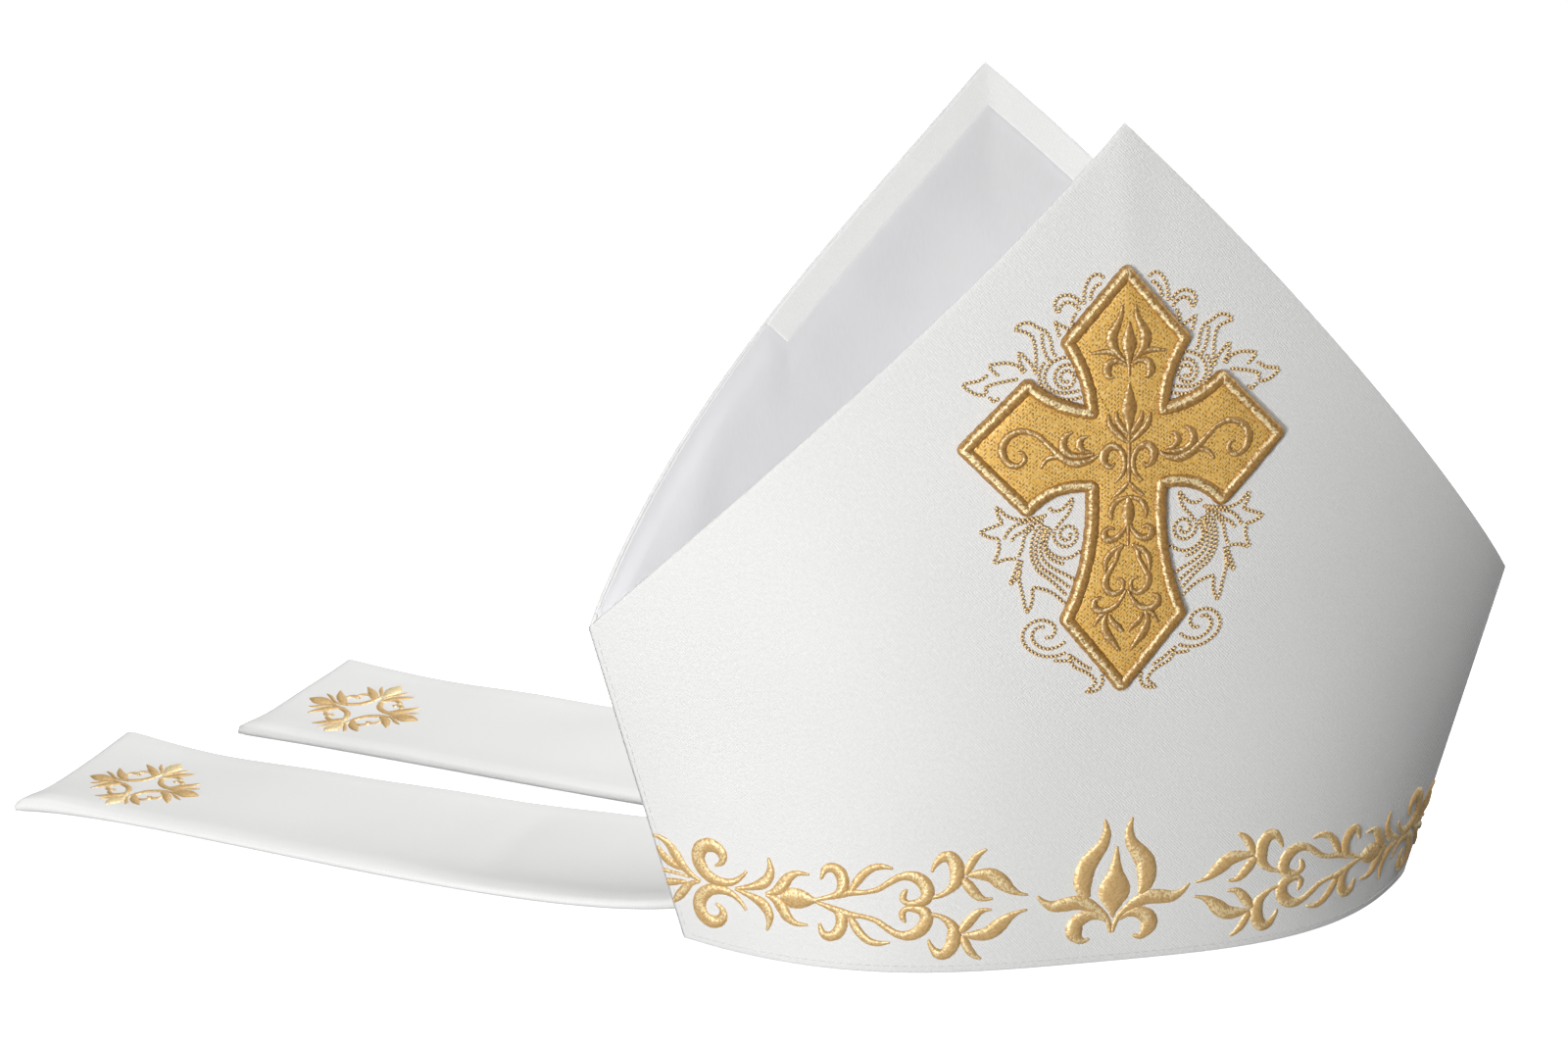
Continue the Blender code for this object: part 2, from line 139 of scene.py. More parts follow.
SCROLL_MIDDLE_HEIGHT = 25.2
SCROLL_SHIFT = 0.5
SCROLL_MIRRORED = (
    # trefoil: long leaf, upper leaf, inner leaf, curl with its stem
    ((50.8, 11, 1), (47, 11.2, 3.2), (42.5, 10.6, 4.6), (39, 8, 4.8), (35.8, 5.2, 3), (32.7, 3.5, 1.3),
     (29.8, 2.8, 0.6)),
    ((51.3, 11.3, 1.5), (50.3, 13.8, 2.6), (48.7, 16.8, 2.6), (46.9, 18.8, 1.8), (44.7, 20.2, 0.8)),
    ((52.1, 9.8, 2), (50.3, 7.4, 3.2), (48.3, 4.8, 3.2), (46.3, 2.8, 2.4), (44.1, 2, 1.3), (41.9, 2.1, 0.6)),
    ((62.5, 3, 1.2), (59, 4, 1.5), (56.5, 5.8, 2.4), (54.7, 8.1, 3.6), (54.2, 11.3, 4.4), (54.7, 14.8, 4.4),
     (56.7, 17.6, 4), (59.3, 17.7, 3.2), (61.5, 15.4, 1.7), (62.8, 12.5, 0.7)),
    # stem that swells into the heart-shaped loop and its inner curl
    ((101.3, 0.4, 1), (97.5, 1.6, 1.6), (93.5, 3, 2.4), (89.5, 4.1, 2.2), (85, 4.5, 1.4), (80.5, 5.8, 1.7),
     (76.8, 8.4, 2), (73.5, 10.4, 2.3), (70, 11, 3.2), (66.7, 9.8, 4), (64.4, 7.2, 4.2), (63.8, 4, 4),
     (65.3, 1.7, 3.4), (68.1, 0.9, 2.4), (70.5, 1.1, 1.8), (71.9, 2.5, 2), (71.7, 4.4, 1.8),
     (70.8, 6.1, 0.7)),
    # leaf and curl where the stem branches
    ((89.3, 5.1, 1.6), (87.7, 8, 2.6), (85.5, 11.1, 2.6), (82.5, 13.5, 2.3), (79.3, 14.2, 1.8),
     (75.8, 13.6, 0.7)),
    ((95.5, 2.3, 1), (92.7, 4.5, 3.4), (92.2, 7.8, 3.7), (93.4, 11.2, 3.8), (96, 12.8, 3.2),
     (98.5, 11.8, 2.3), (99.8, 8.2, 0.7)),
    # two pairs of leaves
    ((119, 0.2, 0.8), (115.5, 1.6, 2.8), (113.1, 4.3, 3.8), (111.1, 7.4, 3.2), (108.1, 9.4, 1.8),
     (103.8, 9.5, 0.6)),
    ((130.5, 0.1, 0.8), (124.5, 1.8, 2.2), (120.3, 3.8, 3.6), (118.1, 6.6, 3.2), (117.5, 9.8, 2.2),
     (118.3, 13.8, 0.6)),
    # large curl with its tail
    ((126.2, 7.5, 0.8), (128.3, 4.8, 1.4), (131.5, 2.4, 2.2), (136, 1.5, 3.2), (140.5, 2.6, 4),
     (143.8, 5.8, 4.6), (144.9, 9.8, 4.8), (143.3, 13.5, 4.7), (139.9, 14.9, 4.6), (136.5, 13.7, 3.8),
     (135.2, 11.2, 3), (135.9, 8.8, 1.8), (138.2, 7.3, 0.6)),
)
SCROLL_SINGLE = (
    # almond on the stem
    ((113.5, 0, 2), (111, 0, 6), (108, 0, 7), (104.5, 0, 5), (102, 0, 2), (100.3, 0, 0.7)),
    # leaves at the side seam, which cuts them
    ((144, 0.2, 0.8), (147.5, 1.6, 1.8), (151, 4.2, 3), (154.1, 8.2, 3.8), (156.9, 11.7, 2.8),
     (160, 13.4, 1.8), (163.1, 13.8, 0.9)),
    ((150.5, 3.4, 1.2), (154, 3.8, 2.4), (157.5, 5.2, 3), (160.1, 7.4, 2.6), (161.5, 10, 0.9)),
    ((148.5, 0.6, 0.6), (153.5, 0.9, 0.9), (160.5, 0.8, 1.4)),
    ((144.5, -0.2, 0.8), (148, -1.8, 1.8), (150.9, -4.8, 3), (153.3, -7.8, 3), (155.9, -10.8, 1.4)),
    ((150, -1.6, 1), (153.5, -2.4, 2), (158.1, -3.6, 2.8)),
)
# The right half of the scroll is a little lower and flatter than the left.
SCROLL_RIGHT_FLATTENING = 0.95
SCROLL_RIGHT_DROP = 2.9
SCROLL_DROP_START = -60.0
SCROLL_DROP_REACH = 200.0
SCROLL_TO_SEAM = 0.4

FLEUR_SHIFT = 1.2
FLEUR_MIRRORED = (
    # tall petal, side leaf, curl
    ((9.4, 25.2, 2), (11.1, 29, 5.3), (11.2, 33, 6.2), (10.2, 37, 6.2), (7.8, 40.6, 5.2), (5.2, 44, 3.8),
     (4, 48, 2.8), (4.3, 51, 1.6), (4.9, 53.4, 0.5)),
    ((0.4, 11.3, 0.8), (1, 14.5, 1.5), (2.5, 17.6, 1.8), (5.5, 20.4, 2.6), (8.8, 22.3, 4), (12.7, 23.5, 4.7),
     (17.2, 23.2, 4.6), (21.2, 22.9, 3.6), (24.6, 24.6, 2), (27, 27.1, 0.5)),
    ((2.2, 16, 1), (5.7, 18, 2.4), (9.5, 18, 4), (12.8, 15.9, 5), (13.3, 12.6, 5.4), (11.8, 9.9, 3.2),
     (9.8, 8.9, 1.8), (7.7, 9.6, 0.6)),
)
FLEUR_SINGLE = (
    ((0, 17, 0.6), (0, 19.5, 2.8), (0, 22, 6.4), (0, 25, 9.8), (0, 28, 10.3), (0, 31, 7.9), (0, 34, 4.9),
     (0, 37, 3.1), (0, 40, 1.8), (0, 43.2, 0.7)),
)

MOTIF_SHIFT = -0.5
MOTIFS_MIRRORED = (
    # flower in the upper arm: petal, side leaf, curl
    ((2.2, 227.4, 0.5), (2.7, 224, 1.4), (4.1, 220.8, 2.3), (5.7, 217.6, 3.2), (5.4, 214.4, 3),
     (3.5, 211.6, 1.6), (1.4, 209.5, 0.7)),
    ((2, 210.2, 0.8), (4.5, 211.8, 1.5), (8, 212.6, 1.5), (12.8, 212.2, 0.5)),
    ((0.7, 208, 0.7), (3.5, 209.4, 1.4), (6.5, 208.8, 2.2), (7.5, 206.4, 2.6), (6.5, 204.4, 1.5),
     (5.1, 204.3, 0.5)),
    # flower at the crossing: two petals, round curl
    ((0.3, 185.5, 0.8), (2.5, 188, 1.9), (4.1, 190.6, 1.5), (4.4, 193.2, 0.5)),
    ((0.3, 183, 0.8), (3.5, 185.6, 1.8), (6.3, 188.8, 1.8), (7.2, 192.4, 0.5)),
    ((4.6, 170.2, 0.5), (2.1, 173, 1.2), (1.4, 177, 1.5), (2.9, 180.6, 1.7), (6, 181.9, 2.2),
     (8.4, 179.8, 2.8), (8.3, 176.8, 2.1), (6.3, 175.2, 1.3), (4.8, 176.3, 0.6)),
    # side arm: long scroll, two curls, lower stem
    ((10.3, 179.4, 0.8), (13.5, 177.6, 1.6), (18, 177, 2.4), (22.3, 178.9, 2.4), (26.8, 183, 1.6),
     (30.5, 186.4, 1.4), (35.6, 188, 1.7), (40, 186.3, 2.1), (42.2, 182.5, 2.4), (41, 178.5, 2),
     (37.5, 176.7, 1.6), (34.9, 178.5, 1.4), (35.5, 180.9, 1), (37.2, 181.2, 0.5)),
    ((19, 187.2, 0.5), (21.5, 185.6, 1.9), (22.3, 182.6, 2.6), (20, 180, 2), (16, 179.2, 1.4),
     (12, 179.6, 0.7)),
    ((14.1, 185.4, 0.5), (16.1, 184.8, 1.6), (16.8, 182.6, 2.2), (15.1, 180.8, 1.3), (13, 180.6, 0.5)),
    ((19.5, 178.3, 1), (24, 179.3, 1.4), (27.5, 178.6, 1.3), (29.8, 175.8, 0.5)),
    # shaft, from the crossing down: two small leaves, curl, leaf, heart, curl, three leaves
    ((0.2, 169.8, 0.6), (2.6, 167.3, 1.4), (5.2, 165.4, 0.5)),
    ((0.3, 165.2, 0.7), (4, 163.8, 1.5), (6, 160.6, 1.5), (5.7, 157.6, 0.5)),
    ((0.3, 156.5, 0.8), (2.1, 153.4, 1.4), (4.9, 151.3, 1.8), (7.5, 151.6, 2.2), (8.1, 153.8, 1.7),
     (6.4, 155.2, 1), (4.6, 154.6, 0.5)),
    ((2, 149.2, 0.6), (5.1, 147.3, 1.6), (7.3, 144.5, 1.6), (7.7, 140, 0.5)),
    ((1.5, 149.5, 0.7), (3.4, 147, 1.5), (3.9, 144.5, 1.3), (5.9, 141, 1.5), (7.5, 137.5, 2.2),
     (6.5, 134.3, 2), (3.8, 133, 1.6), (1.5, 134.6, 1.3), (1.6, 137.4, 1), (3.8, 138.3, 0.5)),
    ((0.3, 134.2, 0.6), (1.5, 131.8, 0.9), (3.7, 129, 1.6), (7.3, 127.4, 1.9), (10.5, 128.4, 2.2),
     (11, 131, 1.5), (8.8, 132.2, 0.5)),
    ((6.7, 126.8, 0.8), (7.5, 123.5, 1.8), (6.5, 119.8, 2.6), (4.1, 116.6, 1.9), (1.7, 113.4, 0.5)),
    ((5.8, 126, 0.8), (4.5, 123.4, 1.8), (2.5, 121.8, 1.8), (0.9, 120, 0.5)),
    ((6.9, 126.8, 0.6), (9.2, 125.4, 1.4), (11.3, 122.2, 0.4)),
)
MOTIFS_SINGLE = (
    # almonds and the stems between them
    ((0, 222, 0.5), (0, 218.5, 2.6), (0, 215, 4.7), (0, 212, 3), (0, 208, 1.1), (0, 204.5, 0.5)),
    ((0, 202, 0.5), (0, 198, 2.8), (0, 194, 4.6), (0, 190.5, 2.9), (0, 186, 1.2), (0, 180, 0.9),
     (0, 174, 1.2), (0, 169.5, 0.6)),
    ((0, 165.5, 0.5), (0, 162.5, 2.8), (0, 159.5, 3.9), (0, 156.8, 2.4), (0, 154, 0.9), (0, 149, 0.6)),
)

# Run stitch round the cross. Rows are away, up.
RUN_SHIFT = -0.5
RUN_PATHS = (
    ((7.3, 235.8), (9.7, 237.3), (12.2, 236.2), (13.8, 233.4), (14.4, 229.8), (14.2, 227.5)),
    ((8, 234.6), (10.5, 233.4), (12, 231), (12.2, 228.4)),
    ((15.2, 227.5), (17.2, 230), (20.2, 231), (23.2, 230), (24.1, 227.6), (23, 224.9)),
    ((15.6, 225.6), (17.6, 227.8), (20, 228.7), (22, 227.6), (22.9, 225)),
    ((17, 225.3), (18.3, 223), (18.2, 220.6), (17, 218.4)),
    ((19, 219.8), (21.6, 221), (24, 222.3), (23.2, 219.6), (22.6, 217.2)),
    ((37.7, 220.4), (35.5, 222), (32.5, 222.4), (29.5, 220.6), (27, 219.4), (25.6, 216.4), (25, 213),
     (23.5, 211)),
    ((37.7, 220.4), (34.5, 219.6), (31.8, 218), (30.7, 214), (30.5, 209), (31, 205.5)),
    ((28.5, 219), (28.2, 215), (27, 211.5), (25.5, 209.5)),
    ((30.6, 205.6), (31.6, 208.4), (33.6, 210.8), (36, 213), (35.6, 209.4), (33.6, 206.4)),
    ((34.4, 205.8), (36.2, 208.4), (39.5, 209.7), (43, 209.6), (45.8, 208.9), (44.3, 206.9), (42.3, 205.4)),
    ((45.8, 206.4), (49.4, 204.2), (54.4, 203), (50.5, 200), (46.4, 199.6)),
    ((46.4, 199.6), (47, 202), (44, 203.2), (40.5, 203.9), (36, 204.6)),
    ((46.4, 199.6), (44.5, 197.6), (42.2, 199)),
    ((17.5, 210.4), (21.5, 211), (25.8, 209), (27.8, 205), (26.3, 201.5), (22, 199.6), (15.5, 200.3)),
    ((27.5, 210.3), (29.5, 206), (28.5, 201.8), (24.5, 198.6), (19.5, 197.4), (14.8, 198.2)),
    ((27, 160), (31, 159.3), (35.5, 158.8), (40, 160), (43.5, 163), (43, 160), (41.8, 158), (44.5, 156.8),
     (48.8, 155), (45, 153), (43, 153)),
    ((43, 153), (42.8, 149), (44.2, 144.8), (41, 145.8), (37, 146)),
    ((36, 146), (37.2, 142), (39, 137.5), (36.6, 139.8), (35.4, 142)),
    ((35, 146), (36, 140), (34.8, 134), (33.2, 128), (31.4, 132), (31.4, 135.8), (28, 135.4), (24, 133.4),
     (20, 129.8)),
    ((27.5, 159.6), (32.1, 158.4), (35.1, 157.7), (37.4, 157), (39.8, 155), (41.4, 152.2)),
    ((27.5, 158.4), (32.1, 157), (34.8, 155), (37.8, 153.3), (38.8, 151.1)),
    ((31, 156.6), (34.2, 153.6), (35.1, 149.6), (36.5, 146.2)),
    ((27.8, 157.4), (30.6, 155), (31.8, 151.6), (32.1, 147.5), (31.2, 144.1), (29.3, 141.2), (25.8, 138.5),
     (22.8, 135.8), (19.8, 132.6)),
    ((27, 156.7), (29.2, 154.1), (30.3, 151.2), (30.6, 147.5), (29.8, 144.6), (28, 142.2), (24.8, 139.9),
     (21.5, 137.5), (18.6, 135.2)),
    ((26.3, 156.4), (28, 153.3), (28.9, 149.9), (28.7, 146.7), (27, 144.1), (24.2, 141.9), (20.2, 139.8),
     (17.4, 138)),
    ((25.4, 155.7), (26.6, 153), (27.4, 149.9), (27, 147.4), (25.6, 145.6), (23.4, 144.3), (20.8, 143.4)),
    ((15.3, 147.8), (19, 145.6), (23, 145.8), (26.6, 148.6), (28, 152.5), (27, 156)),
    ((26.8, 162.6), (24.5, 161.2), (21.5, 162), (18.5, 165), (19.6, 160.6), (22.6, 157.2), (24.6, 154.6)),
    ((19, 113.6), (23.5, 112.4), (28.5, 113), (33, 116), (34.5, 120), (32.5, 123.6), (28.5, 125),
     (24.6, 123.6), (23.5, 121), (25, 118.9), (27.5, 119.2)),
    ((19.5, 117.6), (22.5, 115.6), (26.5, 115.1), (30, 117), (31.3, 120), (29.5, 122.6), (26.5, 122.4)),
    ((17.5, 110.6), (21.5, 110.7), (24, 111)),
    ((18.5, 113), (16.8, 108.6), (13, 106.5), (10.2, 104.4), (9.2, 102), (12, 99.4), (8.2, 99.8),
     (6.6, 102.4), (7, 105)),
    ((17.6, 112), (13.8, 109), (10.6, 107)),
)
# Spirals of run stitch: the middle, the radii at its start and end, the turns and the
# angle at its end, in degrees from straight out.
RUN_SPIRALS = (
    {"away": 20.6, "up": 204.4, "inner": 0.9, "outer": 4.6, "turns": 1.9, "end": 150.0},
    {"away": 20.2, "up": 153.2, "inner": 0.9, "outer": 4.6, "turns": 1.7, "end": 20.0},
)

# The ornament on each lappet: one of its four arms, in millimetres outwards from its
# middle and to the side. Rows are outwards, sideways, width.
LAPPET_ORNAMENT_MIRRORED = (
    # side leaf, small leaf under the tip, curl that closes the eye between two arms
    ((8.6, 1.4, 0.8), (11.6, 2.8, 1.9), (14.6, 5.2, 3), (17.4, 8.2, 2.3), (19.8, 11.6, 0.4)),
    ((13.8, 1, 0.5), (17, 2.8, 1), (19.8, 5, 1.2), (23, 6.6, 0.3)),
    ((12.4, 4.4, 0.5), (13.4, 7.2, 1.1), (12.2, 9.6, 1.5), (9.9, 9.8, 1.3), (9.2, 8, 0.4)),
)
LAPPET_ORNAMENT_SINGLE = (
    # lance at the tip, arc from this arm to the next
    ((13.6, 0, 0.9), (16.4, 0, 2.2), (19.2, 0, 4.3), (21.8, 0, 5.2), (24.2, 0, 3.8), (27.2, 0, 0.5)),
    ((15, 1, 0.8), (11.6, 1.6, 1.5), (8.2, 2.7, 1.9), (5.6, 4.1, 1.9), (4.1, 5.6, 1.9), (2.7, 8.2, 1.9),
     (1.6, 11.6, 1.5), (1, 15, 0.8)),
)
LAPPET_ORNAMENT_WIDENING = 1.18
LAPPET_ORNAMENT_RELIEF = 0.55
# Where its middle lies on each lappet, and its two axes in plan.
LAPPET_ORNAMENT_PLACE = {
    "left": {"from_end": 37.0, "across": -6.4, "axes": ((0.70, -0.60), (0.59, 0.84))},
    "right": {"from_end": 36.5, "across": -4.0, "axes": ((0.72, -0.67), (0.72, 0.97))},
}

# ---- the camera and the light ----
# The camera's place, the floor's depth, the lens and the sensor are in millimetres, the
# other lengths in metres, powers in watts and angles in degrees.

CAMERA_FROM_RIM_MIDDLE = (-391.9, -1105.6, 456.5)
CAMERA_TURN = {"yaw": 14.810, "pitch": 15.184, "roll": 0.477}
CAMERA_LENS = 81.07
CAMERA_SENSOR = 36.0
CAMERA_SIGHT = 60.0
FLOOR_REACH = 12.0
FLOOR_DEPTH = 0.2
LIGHT_DISTANCE = 2.2
LIGHT_TARGET_HEIGHT = 0.13
LIGHTS = {
    "key_high": {"power": 11.0, "size": 0.45, "azimuth": 30, "elevation": 25},
    "key_low": {"power": 33.5, "size": 0.42, "azimuth": 42, "elevation": 0},
    "side": {"power": 3.5, "size": 1.0, "azimuth": 95, "elevation": 0},
    "back_right": {"power": 44.0, "size": 1.4, "azimuth": -110, "elevation": 50},
    "back": {"power": 9.5, "size": 1.4, "azimuth": -150, "elevation": 50},
}

# ---- arrays ----


def join(*parts):
    """Vectors whose components are the parts, broadcast to one shape."""
    return np.stack(np.broadcast_arrays(*parts), axis=-1)


def blend(low, high, share):
    """low at a share of 0 and high at 1, along a straight line."""
    return low + (high - low) * share


def ease(value):
    """0 below 0, 1 above 1 and smooth between."""
    value = np.clip(value, 0.0, 1.0)
    return value * value * (3.0 - 2.0 * value)


def arch(share):
    """A parabola: 0 at both ends and 1 in the middle."""
    return 4.0 * share * (1.0 - share)


def bump(distance, width):
    """A bell curve: 1 at no distance and a little over a third at the width."""
    return np.exp(-((distance / width) ** 2))


def unit(vectors):
    """The same directions with a length of one."""
    return vectors / np.maximum(np.linalg.norm(vectors, axis=-1, keepdims=True), 1e-9)


def running(points):
    """The length along the first axis up to each point, summed over straight steps."""
    steps = np.linalg.norm(np.diff(points, axis=0), axis=-1)
    return np.concatenate([np.zeros_like(steps[:1]), np.cumsum(steps, axis=0)])


def directions(steps):
    """Unit vectors along flat steps and to the left of them."""
    forward = unit(steps)
    return forward, join(-forward[..., 1], forward[..., 0])


def grid_normals(points):
    """Unit cross product of the steps down the rows and along the columns."""
    return unit(np.cross(np.gradient(points, axis=0), np.gradient(points, axis=1)))


def sample(grid, row, column):
    """Values of a grid between its points, by two linear steps."""
    top = np.clip(np.floor(row).astype(int), 0, grid.shape[0] - 2)
    left = np.clip(np.floor(column).astype(int), 0, grid.shape[1] - 2)
    across = (column - left)[..., None]
    high = blend(grid[top, left], grid[top, left + 1], across)
    low = blend(grid[top + 1, left], grid[top + 1, left + 1], across)
    return blend(high, low, (row - top)[..., None])


# ---- surfaces ----


def half_width(z):
    """Half the width between the side seams: it grows evenly with height."""
    return blend(RIM_HALF_WIDTH, SEAM_TOP_HALF_WIDTH, z / SEAM_HEIGHT)


def wall_y(side, x, z):
    """Depth times one less the share of the half width raised to the fullness."""
    shape = DEPTH[side]
    rise = z / HORN_HEIGHT
    depth = blend(shape["rim"], shape["tip"], rise) + shape["belly"] * arch(rise)
    share = np.minimum(np.abs(x) / half_width(z), 1.0)
    return shape["faces"] * depth * (1.0 - share ** blend(FULLNESS_AT_RIM, FULLNESS_AT_TIP, rise))


def swell(side, x, z):
    """How far the cloth stands out of the plain wall: slow waves, a soft crease down from
    the tip, and nothing at the side seams."""
    out = bump(x, CREASE["width"]) * CREASE["height"] * ease((z - CREASE["starts"]) / CREASE["run"])
    for wave in SLOW_WAVES:
        out = out + wave["height"] * np.sin(wave["per_x"] * x + wave["per_z"] * z + wave["offset"])
    return out * ease((1.0 - np.abs(x) / half_width(z)) / LEVEL_BY_SEAM)


def on_wall(side, x, z, out=0.0, step=0.5):
    """Points of the wall over x and z, moved along its outward normal by out. The normal
    comes from the slopes over a step to each side."""
    slope_x = (wall_y(side, x + step, z) - wall_y(side, x - step, z)) / (2 * step)
    slope_z = (wall_y(side, x, z + step) - wall_y(side, x, z - step)) / (2 * step)
    normal = DEPTH[side]["faces"] * unit(join(-slope_x, 1.0, -slope_z))
    return join(x, wall_y(side, x, z), z) + np.asarray(out)[..., None] * normal


def on_cloth(side, x, z, out=0.0):
    """Points of the panel's outer face over x and z, moved outwards by out."""
    return on_wall(side, x, z, swell(side, x, z) + out)


def horn_edge(side, share):
    """x and z of the horn edge: a straight line from seam to tip, bowed by a parabola."""
    rise = 1.0 - np.abs(share)
    left, right = EDGE_BOW[side, -1], EDGE_BOW[side, 1]
    bow, skew = (np.where(share < 0, left[key], right[key]) for key in ("bow", "skew"))
    out = SEAM_TOP_HALF_WIDTH * (1.0 - rise) + arch(rise) * (bow + 2.0 * skew * (1.0 - 2.0 * rise))
    return np.where(share < 0, -out, out), blend(SEAM_HEIGHT, HORN_HEIGHT, rise)


def edge_height(side, x, steps=400):
    """Height of the horn edge over x, from straight steps."""
    return np.interp(x, *horn_edge(side, np.linspace(-1.0, 1.0, steps + 1)))


def cloth_length(side, x, z, points=40):
    """Length along the cloth from the middle line to x."""
    part = x * np.linspace(0.0, 1.0, points)[:, None, None]
    return np.sign(x) * running(join(part, wall_y(side, part, z)))[-1]


def facing_drop():
    """The facing's width measured straight down, on an edge that slopes."""
    return FACING_WIDTH * math.hypot(1.0, (HORN_HEIGHT - SEAM_HEIGHT) / SEAM_TOP_HALF_WIDTH)


class Roll:
    """Turns a length along the cloth into x. For rows of z it holds x over even shares
    of the arc from the middle line to the seam."""

    ROWS = 58
    SHARES = 161

    def __init__(self, side):
        self.side = side
        self.z = np.linspace(0.0, HORN_HEIGHT, self.ROWS)
        x = np.linspace(0.0, 1.0, 4 * self.SHARES)[:, None] * half_width(self.z)
        arc = running(join(x, wall_y(side, x, self.z)))
        self.reach = arc[-1]
        even = np.linspace(0.0, 1.0, self.SHARES)
        self.x = np.stack([np.interp(even * to[-1], to, row) for to, row in zip(arc.T, x.T)])

    def half_arc(self, z):
        """Length of cloth from the middle line to the seam at height z."""
        return np.interp(z, self.z, self.reach)

    def on_cloth(self, u, z, out=0.0):
        """Points of the wall at u along the cloth and height z, moved outwards by out."""
        share = np.clip(np.abs(u) / self.half_arc(z), 0.0, 1.0)
        rows = np.clip(z / HORN_HEIGHT, 0.0, 1.0) * (self.ROWS - 1)
        x = sample(self.x[..., None], rows, share * (self.SHARES - 1))[..., 0]
        return on_cloth(self.side, np.sign(u) * x, z, out)


# ---- meshes ----


def shift():
    """From the mitre's own frame to the model's, in millimetres."""
    low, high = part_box("front_panel")
    return np.array([(low.x + high.x) / 2 / MM, high.y / MM + SEAM_GAP / 2, 0.0])


def add_object(name, data):
    """A new object in the scene, at the origin."""
    made = bpy.data.objects.new(name, data)
    bpy.context.scene.collection.objects.link(made)
    return made


def make_piece(name, points, faces, marks, material):
    """A smooth mesh object at the origin. points are in millimetres, marks is a vector
    for each point that its material reads as the attribute 'cloth'."""
    mesh = bpy.data.meshes.new(name)
    mesh.from_pydata((points.reshape(-1, 3) + shift()) * MM, [], faces)
    attribute = mesh.attributes.new("cloth", "FLOAT_VECTOR", "POINT")
    attribute.data.foreach_set("vector", marks.astype(np.float32).ravel())
    mesh.shade_smooth()
    mesh.update()
    mesh.materials.append(material)
    made = add_object(name, mesh)
    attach(made, "root")
    return made


def quads(rows, columns, wrap_rows, wrap_columns):
    """Quads between the points of a grid, numbered row by row. A wrapped grid joins its
    last row or column to the first."""
    row = np.arange(rows if wrap_rows else rows - 1)[:, None]
    column = np.arange(columns if wrap_columns else columns - 1)
    here, after = row * columns, (row + 1) % rows * columns
    beside = (column + 1) % columns
    return join(here + column, here + beside, after + beside, after + column).reshape(-1, 4)


def ladder(rows, columns, column):
    """Quads that close one end of a wrapped grid, from its front half to its back half."""
    front = np.arange(rows // 2 - 1)
    back = rows - 1 - front
    faces = join(front, front + 1, back - 1, back) * columns + column
    return faces[:, ::-1] if column else faces


ROUND_STEPS = 5


def wrapped(name, middle, half, marks, material, clamp=None):
    """A closed cloth round a middle surface: the front half a thickness out along the
    normals, a half circle over the last row, the back half a thickness in, and a half
    circle under the first row. Ladders of quads close the two ends of the columns."""
    normal = grid_normals(middle)
    half = np.broadcast_to(half, middle.shape[:2])[..., None]
    turn = np.linspace(0.0, math.pi, ROUND_STEPS + 2)[1:-1, None, None]
    cos, sin = np.cos(turn), np.sin(turn)
    over = middle[-1] + half[-1] * (cos * normal[-1] + sin * unit(middle[-1] - middle[-2]))
    under = middle[0] + half[0] * (sin * unit(middle[0] - middle[1]) - cos * normal[0])
    points = np.concatenate([middle + half * normal, over, (middle - half * normal)[::-1], under])
    if clamp:
        points = clamp(points)
    first, last = (np.repeat(row, ROUND_STEPS, axis=0) for row in (marks[:1], marks[-1:]))
    marks = np.concatenate([marks, last, marks[::-1], first])
    # The rows start half way round a half circle, so that the ladders' halves face each other.
    points, marks = (np.roll(array, ROUND_STEPS // 2, axis=0) for array in (points, marks))
    rows, columns = points.shape[:2]
    caps = [ladder(rows, columns, column) for column in (0, columns - 1)]
    faces = np.concatenate([quads(rows, columns, True, False), *caps])
    return make_piece(name, points, faces[:, ::-1], marks, material)


def smooth_path(rows, step, parts=16, least=6):
    """Points every step along a Catmull-Rom curve through the rows: each span is a cubic
    whose slope at a row runs from the row before to the row after."""
    ends = np.concatenate([2 * rows[:1] - rows[1:2], rows, 2 * rows[-1:] - rows[-2:-1]])
    t = np.linspace(0.0, 1.0, parts + 1)[:-1, None, None]
    a, b, c, d = (ends[i : len(ends) - 3 + i] for i in range(4))
    cubic = (2 * a - 5 * b + 4 * c - d) * t**2 + (3 * b - a - 3 * c + d) * t**3
    spans = 0.5 * (2 * b + (c - a) * t + cubic)
    dense = np.concatenate([spans.transpose(1, 0, 2).reshape(-1, rows.shape[1]), rows[-1:]])
    along = running(dense[:, :2])
    even = np.linspace(0.0, along[-1], max(least, round(along[-1] / step)) + 1)
    return join(*(np.interp(even, along, column) for column in dense.T)), even


